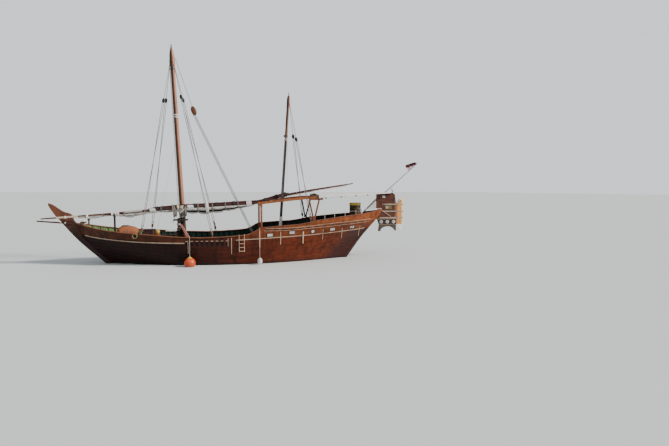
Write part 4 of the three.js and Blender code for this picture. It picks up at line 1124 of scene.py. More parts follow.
MIZZEN_RADII = [(2.4, 0.110), (5.0, 0.110), (9.0, 0.107), (12.0, 0.103), (12.15, 0.105)]
MIZZEN_HEAD = [(12.25, 0.116), (12.36, 0.120), (12.46, 0.114), (12.54, 0.104), (12.62, 0.102),
    (12.69, 0.084), (12.73, 0.030), (12.9, 0.028), (12.93, 0.040), (12.95, 0.020)]
mizzen_foot = straight(poop_run, mizzen_x(2.4) + 0.111) + SEAT_GAP
mizzen_rows = [(mizzen_foot, 0.110)] + [(z, straight(MIZZEN_RADII, z))
    for z in np.arange(2.7, 12.1, 0.5)] + MIZZEN_HEAD
mizzen_parts = [standing(mizzen_rows, mizzen_x, 24)]
for z in (9.30, 9.42):
    mizzen_parts.append(hoop(mizzen_x, z, 0.06, 0.118, 1))
mizzen_parts.append(hoop(mizzen_x, 9.62, 0.10, 0.122, 2))
mizzen_parts.append(block((mizzen_x(9.62) - 0.20, -0.05, 9.55),
    (mizzen_x(9.62) - 0.07, 0.05, 9.69), 0.012, 2))
for k in range(7):
    z = 2.62 + 0.11 * k
    mizzen_parts.append(hoop(mizzen_x, z, 0.10, 0.122 - 0.002 * (k % 2), 3))
piece("mizzen_mast_spar", mizzen_parts, [mizzen_wood, white_paint, iron, white_cloth], slot="mast_wood",
    replaces=["mizzen_mast"])
print("main masthead", main_rows[-1][0], "mizzen masthead", mizzen_rows[-1][0])

# %% The lowered yard
YARD = [(-12.98, -1.178, 3.405, 0.042), (-11.8, -1.075, 3.475, 0.06), (-10.6, -0.97, 3.55, 0.072),
    (-9.6, -0.88, 3.612, 0.08), (-8.9, -0.82, 3.66, 0.086), (-8.2, -0.758, 3.712, 0.091),
    (-7.7, -0.712, 3.757, 0.093), (-7.1, -0.66, 3.81, 0.096), (-6.3, -0.59, 3.88, 0.098),
    (-5.4, -0.51, 3.965, 0.1), (-4.4, -0.48, 4.06, 0.102), (-3.63, -0.47, 4.14, 0.103),
    (-2.9, -0.45, 4.175, 0.102), (-1.9, -0.33, 4.22, 0.1), (-0.9, -0.2, 4.27, 0.099),
    (0.1, -0.06, 4.32, 0.098), (1.1, 0.06, 4.375, 0.097), (1.9, 0.14, 4.42, 0.096),
    (2.3, 0.18, 4.46, 0.095), (4.02, 0.33, 4.95, 0.088), (6.24, 0.52, 5.38, 0.074),
    (9.9, 0.82, 5.95, 0.042)]


def on_yard(x, up=0.0, side=0.0):
    """A point on the yard's centreline, raised or moved sideways."""
    return Vector((x, reading(YARD, 1, x) + side, reading(YARD, 2, x) + up))


def yard_at(x, k):
    return straight([(row[0], row[k]) for row in YARD], x)


def yard_r(x):
    return yard_at(x, 3)


def near(x):
    """The yard bends at the fore beam, so the lowest seat there is the model's own straight line."""
    if 1.85 < x < 2.35:
        return Vector((x, yard_at(x, 1), yard_at(x, 2)))
    return on_yard(x)


yard_xs = [-12.98] + list(np.arange(-12.8, 9.9, 0.2)) + [9.9]
yard_parts = [tube([near(x) for x in yard_xs], [yard_r(x) for x in yard_xs], 18)]
spar = yard_parts[0]
spar["finish"] = [0] * len(spar["faces"])
for k, face in enumerate(spar["faces"][:-2]):
    x, z = [sum(spar["points"][i][c] for i in face) / 4 for c in (0, 2)]
    under = z < on_yard(x).z - 0.3 * yard_r(x)
    if -12.0 < x < -10.5 or (-10.5 < x < -8.9 and under):
        spar["finish"][k] = 1
LAP_FORE, LAP_AFT = -5.9, 4.6
lap_xs = list(np.arange(LAP_FORE, LAP_AFT, 0.25)) + [LAP_AFT]
lap_end = [0.35, 0.7, 0.9]
lap_share = lap_end + [1.0] * (len(lap_xs) - 6) + lap_end[::-1]
yard_parts.append(tube([on_yard(x, yard_r(x) + 0.052 * s, 0.01) for x, s in zip(lap_xs, lap_share)],
    [0.062 * s for s in lap_share], 14))
piece("yard_spars", yard_parts, [yard_wood, bare_spar], body="yard", slot="dark_wood",
    replaces=["main_yard"])
print("yard length", round(sum((on_yard(b) - on_yard(a)).length for a, b in zip(yard_xs, yard_xs[1:])), 2))

# %% [markdown]
# ## The furled sail
# The sail is bundled under the yard and tied every metre or so. Between the ties the cloth hangs in
# a fat upper roll with a crease and a thin lip below it. A simulation of so many layers would be
# slow, so the section is drawn as shares of the bundle's width and depth, and waves of several
# lengths move it about, the same on each run.

# %% Section and folds of the sail
SAIL = [(-10.6, 0.07, 0.09), (-9.6, 0.15, 0.16), (-8.9, 0.09, 0.13), (-8.2, 0.05, 0.11),
    (-7.7, 0.19, 0.195), (-7.1, 0.3, 0.25), (-6.3, 0.18, 0.2), (-5.4, 0.13, 0.17), (-4.4, 0.2, 0.18),
    (-3.63, 0.26, 0.19), (-2.9, 0.42, 0.26), (-1.9, 0.52, 0.3), (-0.9, 0.48, 0.3), (0.1, 0.38, 0.26),
    (1.1, 0.21, 0.2), (1.9, 0.06, 0.11)]
FAT_SECTION = [(0.0, 0.10), (0.03, 0.52), (0.09, 0.80), (0.18, 0.97), (0.28, 1.0), (0.37, 0.93),
    (0.45, 0.74), (0.51, 0.50), (0.56, 0.36), (0.62, 0.33), (0.70, 0.38), (0.79, 0.46), (0.87, 0.44),
    (0.94, 0.30), (1.0, 0.06)]
DEEP_FROM = -3.5
GASKETS = [-10.1, -8.98, -8.2, -7.55, -6.75, -5.95, -5.0, -4.1, -3.2, -2.35, -1.3, -0.35, 0.6, 1.45]


def pinch(x):
    """How far the nearest tie draws the bundle in, from 1 at the tie to 0 halfway between ties."""
    return max(0.0, 1 - min(abs(x - g) for g in GASKETS) / 0.30) ** 2


def fold(x, t, k):
    """Waves of three lengths, within plus and minus one; k moves them apart."""
    waves = (sin(5.1 * x + 9.0 * t + 1.7 * k) + 0.7 * sin(11.3 * x - 6.0 * t + 2.9 * k)
        + 0.5 * sin(23.0 * x + 14.0 * t + k))
    return waves / 2.2


sail_xs = list(np.arange(-10.6, 1.9, 0.055)) + [1.9]
sail_rings = []
for x in sail_xs:
    deep, wide = reading(SAIL, 1, x), reading(SAIL, 2, x)
    tie = pinch(x)
    deep_here = deep * (1 - 0.24 * tie) * (1 + 0.05 * fold(x, 0, 3))
    wide_here = wide * (1 - 0.10 * tie)
    top = on_yard(x, -yard_r(x) + 0.004)
    crease = min(1.0, max(0.0, (deep - 0.16) / 0.15))
    ring = []
    for hand in (1, -1):
        rows = FAT_SECTION if hand > 0 else FAT_SECTION[::-1]
        for t, share in rows:
            plump = sqrt(max(0.0, 1 - (2 * t - 1) ** 2))
            width = (share * crease + plump * (1 - crease)) * wide_here / 2
            wave = (0.10 * wide * fold(x, t, 0 if hand > 0 else 5)
                * (1 - 0.6 * tie) * sqrt(max(share, 0.05)))
            ring.append((x + 0.012 * fold(x, t, 9), top.y + hand * max(width + wave, 0.004),
                top.z - deep_here * t))
    sail_rings.append(ring)
side_rows = len(FAT_SECTION)
shaded_rows = {k for k in range(7, 11)} | {2 * side_rows - 2 - k for k in range(7, 11)}
# near-black cloth on the crease rows is painted shade in the fold
painted_crease_shade = woven("sail_crease_painted_shade", (0.008, 0.008, 0.010), 0.0, shine=0.05)
roll = loft(sail_rings, 0, lambda j: 1 if j in shaded_rows else 0)
ring_size = len(sail_rings[0])
roll["finish"] = [f if k // ring_size < len(sail_xs) and sail_xs[min(k // ring_size,
    len(sail_xs) - 1)] > DEEP_FROM else 0 for k, f in enumerate(roll["finish"])]
sail = piece("furled_sail_roll", roll, [sail_cloth, painted_crease_shade], body="yard", slot="canvas",
    replaces=["furled_sail"], crease=60)
print("sail rings", len(sail_rings), "ties", len(GASKETS))

# %% [markdown]
# The ties are the same few turns of rope again and again, only wider or narrower with the bundle,
# so the repeat tree places one unit pattern and scales it to the bundle at each tie.

# %% Ties, lashings and wraps on the yard
def turns(count, rope, loose=0.0, steps=20):
    """A unit coil round the X axis: the radius is one, and the rope's own radius is a share of it."""
    path = []
    for k in range(count * steps + 1):
        a = 2 * pi * k / steps
        r = 1 + loose * sin(3.1 * a)
        path.append((rope * 2.1 * (k / steps - count / 2), r * cos(a), r * sin(a)))
    return tube(path, rope, 6)


def yard_heading(x):
    return (on_yard(x + 0.05) - on_yard(x - 0.05)).normalized()


def bundle(x, spare=0.012):
    """Centre, direction, up and size of a ring that holds the yard and the sail together."""
    deep, wide = reading(SAIL, 1, x) * 0.78, reading(SAIL, 2, x)
    lapped = 0.12 if LAP_FORE < x < LAP_AFT else 0.0
    high, low = yard_r(x) + lapped + spare, yard_r(x) + deep + spare
    half = max(yard_r(x), wide * 0.46) + spare
    return (on_yard(x, (high - low) / 2), yard_heading(x), (0, 0, 1), (half, half, (high + low) / 2))


def yard_ring(x, spare=0.008):
    return (on_yard(x), yard_heading(x), (0, 0, 1), (yard_r(x) + spare,) * 3)


repeat("sail_ties", turns(3, 0.075), [bundle(x) for x in GASKETS if x not in (-8.2, -5.95)], pale_rope,
    0.02, 3, body="yard", slot="rope")
WRAPS = [-10.0, -8.34, -8.14, -7.96, -1.70, 1.32, 1.44, 1.56]
YARD_WRAPS = [-11.42, -5.72, -5.58, -5.44, -3.03, -2.89, -2.76]
repeat("white_wraps", turns(4, 0.16, 0.05), [bundle(x, 0.020) for x in WRAPS]
    + [yard_ring(x, 0.016) for x in YARD_WRAPS], white_cloth, 0.04, 5, body="yard", slot="canvas")
repeat("yard_lashings", turns(7, 0.10), [(on_yard(x, 0.055), yard_heading(x), (0, 0, 1), (0.14, 0.115,
    0.17)) for x in (-5.3, -4.85, -2.6, -1.0, 0.3, 2.75, 3.6, 4.3)], dark_rope, 0.03, 7,
    body="yard", slot="rope")
thin_places = [yard_ring(x) for x in np.arange(5.2, 9.8, 0.62)] + [yard_ring(-12.9)]
repeat("yard_end_ties", turns(3, 0.10), thin_places, pale_rope, 0.05, 11, body="yard", slot="rope")

# %% A thin strip of the sail along the after half of the yard
strip_rings = []
for x in np.arange(2.7, 9.4, 0.08):
    swell = 0.028 + 0.012 * fold(x, 0.3, 2)
    centre = on_yard(x, -yard_r(x) - swell * 0.9)
    strip_rings.append([(centre.x, centre.y + swell * 0.9 * sin(a) + 0.004 * fold(x, a, 4),
        centre.z + swell * cos(a)) for a in np.linspace(0, 2 * pi, 12, endpoint=False)])
piece("sail_edge_strip", loft(strip_rings),
    timber("faded_edge", (0.62, 0.50, 0.44), (0.40, 0.22, 0.18), 0.3, 0.6), body="yard", slot="canvas")
slings = [(Vector((x, on_yard(x).y, 3.86)), yard_heading(x), (0, 0, 1), (0.20, 0.20, high))
    for x, high in ((-4.12, 0.46), (-3.98, 0.40), (-3.24, 0.36))]
repeat("yard_slings", turns(3, 0.09, 0.04), slings, pale_rope, 0.03, 13, body="yard", slot="rope")
fold_rings = []
for x in np.arange(-7.5, -6.25, 0.06):
    r, swell = yard_r(x), sin(pi * min(1.0, (x + 7.52) / 1.28)) ** 0.5
    outer = [(a, r + 0.006 + 0.034 * swell * sin(pi * k / 12) ** 0.4 * (1 + 0.25 * fold(x, a, 1)))
        for k, a in enumerate(np.linspace(radians(-12), radians(192), 13))]
    inner = [(a, r - 0.004) for a, _ in outer[::-1]]
    fold_rings.append([on_yard(x) + Vector((0, -h * cos(a), h * sin(a))) for a, h in outer + inner])
over = piece("sail_fold_over", loft(fold_rings), sail_cloth, body="yard", slot="canvas", crease=60)
print("wraps", len(WRAPS) + len(YARD_WRAPS), "thin ties", len(thin_places))

# %% [markdown]
# ## Rigging
# Each shroud is a thin pendant from the masthead to a black block, and a heavier two-part tackle
# from there to the cap rail. Every rope is a tube along its own line, with a map that runs along it
# so that the strands of the finish turn round it. Blocks are rounded shells with a rope strop.

# %% Blocks and tackles
def pulley(a, b, wide, thick, finish=0, strop=1):
    """A block between two points: a rounded wooden shell and the strop round its edge."""
    a, b = Vector(a), Vector(b)
    along, long = (b - a).normalized(), (b - a).length
    side = (Vector((0, 1, 0)) - along.y * along).normalized()
    across = along.cross(side)
    rings = []
    for t in (0.0, 0.06, 0.18, 0.36, 0.5, 0.64, 0.82, 0.94, 1.0):
        swell = sqrt(max(0.02, 1 - (2 * t - 1) ** 2)) ** 0.7
        ring = []
        for k in range(16):
            c, s = cos(2 * pi * k / 16), sin(2 * pi * k / 16)
            u, v = copysign(abs(c) ** 0.6, c), copysign(abs(s) ** 0.6, s)
            ring.append(a + t * long * along + 0.5 * wide * swell * u * across
                + 0.5 * thick * swell * v * side)
        rings.append(ring)
    strop_edge = loop((a + b) / 2, (long / 2 + 0.008) * along, (wide / 2 + 0.006) * across, 0.013, 25,
        sides=6, finish=strop)
    return [loft(rings, finish), strop_edge]


def highest(run, first, last):
    return max([straight(run, first), straight(run, last)] + [z for x, z in run if first < x < last])


def seat(run, x, half, gap=SEAT_GAP):
    """The height just above a run, for a foot that reaches half to each side of x."""
    return highest(run, x - half, x + half) + gap


SHROUDS = [("main_shroud_fore", -6.12, (0.775, 0.79), 14.75, main_x, 0.181, -0.185),
    ("main_shroud_aft", -1.19, (0.805, 0.805), 14.7, main_x, 0.176, 0.110),
    ("mizzen_shroud", 5.95, (0.68, 0.722), 12.2, mizzen_x, 0.113, 0.090)]
EYE_HIGH, FALL_GAP, FALL_TWISTS = 0.03, 0.055, 0.5
for side, hand in HANDS:
    for name, foot_x, shares, head_z, lean, mast_r, aft in SHROUDS:
        foot_z = seat(rail_run, foot_x, 0.04) + EYE_HIGH
        foot = Vector((foot_x, hand * (half_breadth(foot_x, foot_z) - 0.04), foot_z))
        head = Vector((lean(head_z) + aft, hand * sqrt((mast_r + 0.014) ** 2 - aft ** 2), head_z))
        along = (head - foot).normalized()
        upper = foot.lerp(head, shares[0 if hand < 0 else 1])
        parts = [tube([upper + 0.16 * along, head], 0.016, 8, 1)]
        parts += pulley(upper - 0.17 * along, upper + 0.17 * along, 0.19, 0.13)
        parts += pulley(foot + 0.12 * along, foot + 0.40 * along, 0.14, 0.11, 2)
        low, high = foot + 0.36 * along, upper - 0.12 * along
        climb = (high - low) / FALL_TWISTS
        parts += [loop(low, (FALL_GAP, 0, 0), (0, 0.042, 0), 0.020, 60, FALL_TWISTS, climb,
            part_turn, 6, 1) for part_turn in (0, pi)]
        parts.append(tube([foot, foot + 0.14 * along], 0.02, 8, 1))
        parts.append(block(foot + Vector((-0.04, -0.04, -EYE_HIGH)),
            foot + Vector((0.04, 0.04, 0.012)), 0.006, 3))
        parts += [loop(foot + h * along, (0.08, 0, 0), (0, 0.05, 0), 0.012, 40, 3, sides=6, finish=1)
            for h in (0.50, 0.60)]
        piece(f"{name}_rope_{side}", parts, [black_paint, tarred_rope, block_wood, iron], slot="rope",
            replaces=[f"{name}_{side}"])
print("shrouds", 2 * len(SHROUDS))

# %% Halyard and its purchase
HALYARD_HEAD = Vector((main_x(15.2) + 0.205, 0.06, 15.2))
HALYARD_BLOCK = Vector((-2.58, 0.15, 11.39))
HALYARD_FOOT = Vector((1.95, 0.9, highest(deck_run, 1.9, 2.0) + 0.02))
block_lean = (HALYARD_HEAD - HALYARD_BLOCK).normalized()
parts = [tube([HALYARD_BLOCK + 0.3 * block_lean, HALYARD_HEAD], 0.016, 8, 2)]
parts += pulley(HALYARD_BLOCK - 0.34 * block_lean, HALYARD_BLOCK + 0.34 * block_lean, 0.36, 0.22)
parts += [tube([HALYARD_BLOCK + Vector((s, 0.0, -0.24)), HALYARD_FOOT + Vector((s, 0, 0.42))], 0.014, 8, 1)
    for s in (-0.09, -0.03, 0.03, 0.09)]
eye_foot, shell_foot, eye_head, shell_head = [HALYARD_FOOT + Vector((0, 0, h))
    for h in (-0.0196, 0.25, 0.3, 0.60)]
parts += pulley(shell_foot, shell_head, 0.30, 0.18)
parts.append(tube([eye_foot, eye_head], 0.03, 10, 3))
piece("halyard_purchase", parts, [block_wood, tarred_rope, tarred_rope, iron], slot="rope",
    replaces=["halyard_tackle"])

# %% [markdown]
# The tye is the rope that carries the yard. It runs over the masthead and down to the yard's middle,
# so it shortens when the yard goes up. It rides on the boat.

# %% Tye, and the parrel that holds the yard to the mast
tye_top = Vector((main_x(15.0) - 0.20, -0.05, 15.0))
tye_foot = on_yard(-3.78, 0.11, -0.02)
beside = Vector((0, 0.03, 0))
tye_ropes = [tube([tye_foot, tye_top], 0.014, 8),
    tube([tye_foot + beside + Vector((0.05, 0, 0)), tye_top + beside + Vector((0.03, 0, 0))], 0.014, 8)]
tye = piece("tye_rope", tye_ropes, grey_rope, slot="rope")
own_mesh(tye)
PARREL_LOW, PARREL_TURNS, PARREL_PITCH = 4.05, 5, 0.044
parrel_foot = (main_x(PARREL_LOW), -0.19, PARREL_LOW)
parrel_climb = (MAIN_RAKE * PARREL_PITCH, 0, PARREL_PITCH)
parts = [loop(parrel_foot, (0.245, 0, 0), (0, 0.43, 0.02), 0.02, 121, PARREL_TURNS, parrel_climb)]
parts += pulley((-3.80, -0.64, 4.34), (-3.76, -0.64, 4.00), 0.17, 0.13, 1, 2)
parts += [tube([(-3.64 + s, -0.63, 3.70), (-3.50 + s, -0.655, 3.84), (-3.33 + s, -0.64, 4.02)], 0.02, 8)
    for s in (-0.045, 0.0, 0.045)]
piece("parrel_rope", parts, [pale_rope, cream_wood, dark_rope], body="yard", slot="rope")

# %% [markdown]
# ## Fore crutch and awning frame
# Squared timbers carry the yard and the awning. Each is a block or a beam with its edges taken off,
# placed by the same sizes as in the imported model. The side beams bend, so they are cut as plates.

# %% Crutch and awning timbers
CRUTCH_X, CRUTCH_Y = -8.2, -0.758
CRUTCH_SEAT = 3.712 - 0.091 - 0.05 - 0.0092
FORK = 0.091 + 0.012
crutch_foot = seat(foredeck_run, CRUTCH_X, 0.06)


def crutch_block(y0, y1, z0, z1):
    return block((CRUTCH_X - 0.06, CRUTCH_Y + y0, CRUTCH_SEAT + z0),
        (CRUTCH_X + 0.06, CRUTCH_Y + y1, CRUTCH_SEAT + z1), 0.01)


piece("crutch_timbers", [crutch_block(-0.06, 0.06, crutch_foot - CRUTCH_SEAT, -0.04),
    crutch_block(-FORK - 0.04, FORK + 0.04, -0.11, 0), crutch_block(-FORK - 0.04, -FORK, -0.02, 0.17),
    crutch_block(FORK, FORK + 0.04, -0.02, 0.17)], dark_wood, slot="mast_wood", replaces=["fore_crutch"])
AWNING_Y, FORE_BEAM_TOP, FORE_BEAM_X, BEAM = 2.3, 4.361, 2.3, 0.16
piece("awning_fore_timber", post(FORE_BEAM_X, 0, BEAM / 2, 2.52, FORE_BEAM_TOP - BEAM, FORE_BEAM_TOP,
    0.012), orange_wood, slot="orange_wood", replaces=["awning_fore_beam"])
SIDE_BEAM = [(2.03, 4.4283), (3.75, 4.64), (5.81, 4.85), (6.9, 4.86)]
post_foot = seat(poop_run, FORE_BEAM_X, 0.07)
bracket_foot = highest(rail_run, 6.05, 6.32) + SEAT_GAP
bracket_y = half_breadth(6.18, bracket_foot) - 0.06
for side, hand in HANDS:
    y = hand * AWNING_Y
    # the starboard post and beam get a darker wood than the port ones: painted shade
    wood = orange_wood if hand < 0 else red_wood
    upright = [post(FORE_BEAM_X, y, 0.07, 0.075, post_foot, FORE_BEAM_TOP - BEAM - 0.0003, 0.012)]
    upright += [post(FORE_BEAM_X, y, 0.085, 0.09, post_foot, post_foot + 0.10, 0.01),
        post(FORE_BEAM_X, y, 0.085, 0.09, 4.06, 4.12, 0.01, 1)]
    piece(f"awning_post_timber_{side}", upright, [wood, pale_trim], slot="orange_wood",
        replaces=[f"awning_post_{side}"])
    outline = [(x, z - 0.09) for x, z in SIDE_BEAM] + [(x, z + 0.09) for x, z in SIDE_BEAM[::-1]]
    piece(f"awning_side_timber_{side}", plate(outline, 0.08, 0.012, y), wood, slot="orange_wood",
        replaces=[f"awning_side_beam_{side}"])
    foot_y = hand * bracket_y
    bracket = [block((6.05, foot_y - 0.06, bracket_foot), (6.32, foot_y + 0.06, bracket_foot + 0.09),
        0.01), beam((6.15, foot_y, bracket_foot + 0.04), (5.85, y, 4.7), 0.11, 0.11, 0, 0.01),
        beam((6.21, foot_y, bracket_foot + 0.04), (6.6, y, 4.7), 0.11, 0.11, 0, 0.01),
        beam((5.83, y, 4.7149), (6.88, y, 4.7245), 0.13, 0.09, 0, 0.01)]
    # the starboard bracket gets a darker wood than the port one: painted shade
    piece(f"awning_bracket_timber_{side}", bracket, red_wood if hand < 0 else dark_wood,
        slot="orange_wood", replaces=[f"awning_bracket_{side}"])
piece("awning_aft_timber", post(6.62, 0, 0.06, 2.448, 4.9483, 5.04, 0.012), red_wood, slot="orange_wood",
    replaces=["awning_aft_beam"])
RIDGE_FORE, RIDGE_AFT, RIDGE_R = 6.5, 13.0, 0.05


def ridge_z(x):
    return 5.1 + (x - RIDGE_FORE) * 0.059 / (RIDGE_AFT - RIDGE_FORE)


ridge_xs = np.linspace(RIDGE_FORE, RIDGE_AFT, 14)
piece("awning_ridge_spar", tube([(x, 0, ridge_z(x)) for x in ridge_xs], RIDGE_R, 16), mizzen_wood,
    slot="mast_wood", replaces=["awning_ridge_pole"])
print("awning posts stand at", round(post_foot, 3))

# %% [markdown]
# ## The awning
# The awning is one piece of heavy cotton, stretched from the aft beam over a ridge pole to the stern
# board, and its edges hang down. It is a single grid of points, two smooth slopes with a slight sag
# between the pole and the edge and faint strain folds from the lashings, and a Solidify modifier
# gives it the thickness of cloth.

# %% Canvas
AWNING = [(6.56, 2.45, 5.0403, 4.8), (6.69, 2.45, 5.0403, 4.806), (7.85, 2.33, 5.05, 4.885),
    (9.0, 2.13, 5.07, 4.97), (10.1, 1.83, 5.095, 5.04), (11.0, 1.47, 5.12, 5.08),
    (12.0, 0.92, 5.16, 5.125), (12.75, 0.43, 5.195, 5.165), (13.15, 0.17, 5.222, 5.195)]
AWNING_FORE, AWNING_AFT = AWNING[0][0], AWNING[-1][0]
HOOK_PITCH, CLOTH_LIFT = 0.55, 0.012
SLOPE = np.linspace(-1, 1, 45)
DROPS = (1.0, 0.66, 0.33)


def awning_row(x):
    half, shoulder, edge = [reading(AWNING, k, x) for k in (1, 2, 3)]
    ridge = ridge_z(x) + RIDGE_R + CLOTH_LIFT
    shoulder += CLOTH_LIFT
    along = x - AWNING_FORE
    ring = []
    hooked = sin(pi * along / HOOK_PITCH) ** 2
    foot = edge + 0.018 * hooked
    for t in SLOPE:
        sag = 0.035 * sin(pi * abs(t)) * min(1.0, along / 0.6) * min(1.0, (AWNING_AFT - x) / 0.8)
        strain = 0.010 * abs(t) ** 3 * cos(2 * pi * along / HOOK_PITCH) + 0.005 * sin(3.1 * x + 5 * t)
        z = shoulder + (ridge - shoulder) * (1 - abs(t)) ** 0.92 - sag + strain * (1 - hooked * 0.3)
        ring.append((x, t * half, z))
    flutter = 0.010 * sin(7.3 * x)

    def hang(top, hand):
        _, y, z = top
        return [(x, y + hand * (0.008 + flutter * s * abs(z - foot) / 0.25), z + (foot - z) * s)
            for s in DROPS]

    return hang(ring[0], -1) + ring + hang(ring[-1], 1)[::-1]


def thicken(sheet, thickness, offset):
    cloth = sheet.modifiers.new("cloth", "SOLIDIFY")
    cloth.thickness, cloth.offset = thickness, offset


awning_xs = sorted({AWNING_FORE, AWNING_AFT, *[round(x, 3) for x in np.arange(6.6, 13.12, 0.07)]})
rows = [awning_row(x) for x in awning_xs]
canvas = piece("awning_cloth", loft(rows, closed=False), awning_cloth, slot="canvas",
    replaces=["awning_canvas"], crease=50)
thicken(canvas, 0.005, 1.0)
for a, b in zip(awning_xs, awning_xs[1:]):
    half, shoulder, edge = [reading(AWNING, k, (a + b) / 2) for k in (1, 2, 3)]

# %% [markdown]
# ## Stern board and rudder
# A board stands on the sternpost and carries the rudder on three iron straps. It is laid in planks
# like everything else, so its outline is cut into bands. The lower apron is grey bare wood with an
# arch cut in it, and a dark band above that carries painted rosettes.

# %% Boards cut into bands
def band(outline, k, low, high):
    """The part of an outline between two limits of x (k = 0) or of height (k = 1)."""
    for limit, sign in ((low, 1), (high, -1)):
        kept = []
        for a, b in zip(outline, outline[1:] + outline[:1]):
            da, db = sign * (a[k] - limit), sign * (b[k] - limit)
            if da >= 0:
                kept.append(a)
            if da * db < 0:
                t = da / (da - db)
                kept.append((a[0] + t * (b[0] - a[0]), a[1] + t * (b[1] - a[1])))
        outline = kept
    return outline


BOARD_AFT, RUDDER_FORE, AXIS_X = 13.355, 13.465, 13.41
STRAPS, STRAP_HIGH = [3.11, 3.64, 4.21], 0.09
upper_board = [(11.9, 2.6), (11.74, 3.02), (11.6523, 3.052), (12.1525, 3.80), (12.1525, 3.93),
    (11.67, 3.93), (11.67, 5.10), (13.215, 5.11), (BOARD_AFT, 4.3), (BOARD_AFT, 2.6)]
apron = [(11.9, 2.5985), (11.82, 2.06), (12.02, 2.06)] + curved([(12.02, 2.06), (12.08, 2.25), (12.3, 2.4),
    (12.65, 2.45), (12.955, 2.4), (13.185, 2.2), (13.295, 2.06)], 1)[1:] + [(BOARD_AFT, 2.15),
    (BOARD_AFT, 2.5985)]
LEVELS = [2.6, 3.05, 3.36, 3.64, 3.93, 4.22, 4.52, 4.82, 5.12]
parts = [plate(band(upper_board, 1, a + 0.0015, b - 0.0015), 0.06, 0.007, finish=1 if b < 3.1 else 0)
    for a, b in zip(LEVELS, LEVELS[1:])]
parts.append(plate(apron, 0.052, 0.008, finish=2))
BAR_AFT = BOARD_AFT - 0.004
BARS = [((11.76, 4.0), (11.76, 5.08), 0.070, 0.022, 0.12, 3),
    ((12.20, 4.16), (12.99, 5.04), 0.069, 0.020, 0.06, 3),
    ((13.25, 3.08), (13.25, 4.86), 0.068, 0.018, 0.035, 4),
    ((11.80, 2.615), (BAR_AFT, 2.615), 0.068, 0.018, 0.03, 4),
    ((11.72, 3.055), (BAR_AFT, 3.055), 0.068, 0.018, 0.03, 4)]
PANELS = [((12.16, 4.78, 12.40, 4.95), 0.006, 0.002, 0.068, 5),
    ((12.40, 3.86, 12.96, 4.15), 0.007, 0.003, 0.068, 6),
    ((12.45, 3.91, 12.66, 4.10), 0.004, 0.002, 0.078, 4)]
for face in (-1, 1):
    for (x0, z0), (x1, z1), y, wide, deep, finish in BARS:
        parts.append(beam((x0, face * y, z0), (x1, face * y, z1), wide, deep, finish))
    for corners, half, chamfer, y, finish in PANELS:
        parts.append(plate(rect(*corners), half, chamfer, face * y, finish))
board_paint = painted("stern_board_green", (0.16, 0.15, 0.06), (0.30, 0.12, 0.05), 0.6, 0.3)
board_wood = timber("stern_board_wood", (0.135, 0.040, 0.020), (0.056, 0.016, 0.009), 0.55, 0.36)
piece("stern_board_planks", parts, [board_wood, dark_wood, grey_wood, red_wood, pale_trim, white_paint,
    board_paint], slot="red_planks", replaces=["stern_board"])


def strap(x0, x1, z, thick=0.008):
    outline = rect(x0, z, x1, z + STRAP_HIGH)
    return [plate(outline, thick, 0.003, face * (0.06 + thick)) for face in (-1, 1)]


def knuckle(z, **more):
    return turned([(0.034, 0), (0.042, 0.004), (0.042, 0.0405), (0.034, 0.0445)],
        (AXIS_X, 0, z), 20, **more)


parts = []
for z, start in zip(STRAPS, (11.95, 12.16, 12.16)):
    parts += strap(start, BOARD_AFT - 0.002, z)
    parts.append(block((BOARD_AFT - 0.04, -0.022, z), (AXIS_X, 0.022, z + 0.0445), 0.003))
    parts.append(knuckle(z))
strap_iron = painted("pale_strap", (0.50, 0.42, 0.33), (0.20, 0.10, 0.06), 0.5, 0.3)
piece("stern_straps", parts, strap_iron, slot="orange_wood")
print("board planks", len(LEVELS) - 1)

# %% Rosettes in the dark band
def rosette(petals, radius, deep):
    """A flat painted flower: petals round a raised middle."""
    def ring(share, y):
        found = []
        for a in np.linspace(0, 2 * pi, petals * 8, endpoint=False):
            reach = (0.30 + 0.70 * abs(cos(petals * a / 2)) ** 0.5) * radius * share
            found.append((reach * cos(a), reach * sin(a), y))
        return found

    rows = ((1.0, 0), (1.0, 0.5), (0.9, 1), (0.35, 1), (0.30, 2), (0.12, 2.2))
    return loft([ring(share, deep * y) for share, y in rows])


def on_both_faces(xs, y, z, size):
    return [((x, face * y, z), (1, 0, 0), (0, face, 0), size) for x in xs for face in (-1, 1)]


flower = rosette(8, 0.15, 0.006)
FLOWERS_X, FLOWERS_Z = (12.08, 12.60, 13.14), 2.83
places = on_both_faces(FLOWERS_X, 0.0595, FLOWERS_Z, (1, 1, 1))
repeat("stern_rosettes", flower, places, white_paint, slot="lantern_paint")
blue_paint = painted("blue_paint", (0.10, 0.20, 0.42), (0.5, 0.5, 0.48), 0.4, 0.2)
places = on_both_faces(FLOWERS_X, 0.062, FLOWERS_Z, (0.42, 0.42, 1.6))
repeat("stern_rosette_hearts", flower, places, blue_paint, slot="lantern_paint")

# %% [markdown]
# The rudder is in vertical planks with an eye hole near its top. Its finish turns cream along the
# after edge and the head, and white at the foot.

# %% Rudder
def rudder_zones(tree, used):
    """Cream along the after edge and the head, white at the foot, oiled wood between."""
    x, _, z = axes_in(tree)
    worn = times(tree, noise(tree, place_in(tree), 7.0, 5.0), 0.05)
    edge = maths(tree, "MAXIMUM", ramp(tree, plus(tree, x, worn), 13.76, 13.91),
        ramp(tree, plus(tree, z, worn), 4.62, 4.63))
    foot = ramp(tree, plus(tree, z, worn), 2.65, 2.64)
    body = blend(tree, edge, used.outputs["Color"], (0.95, 0.74, 0.46, 1))
    return blend(tree, foot, body, (0.92, 0.88, 0.80, 1))


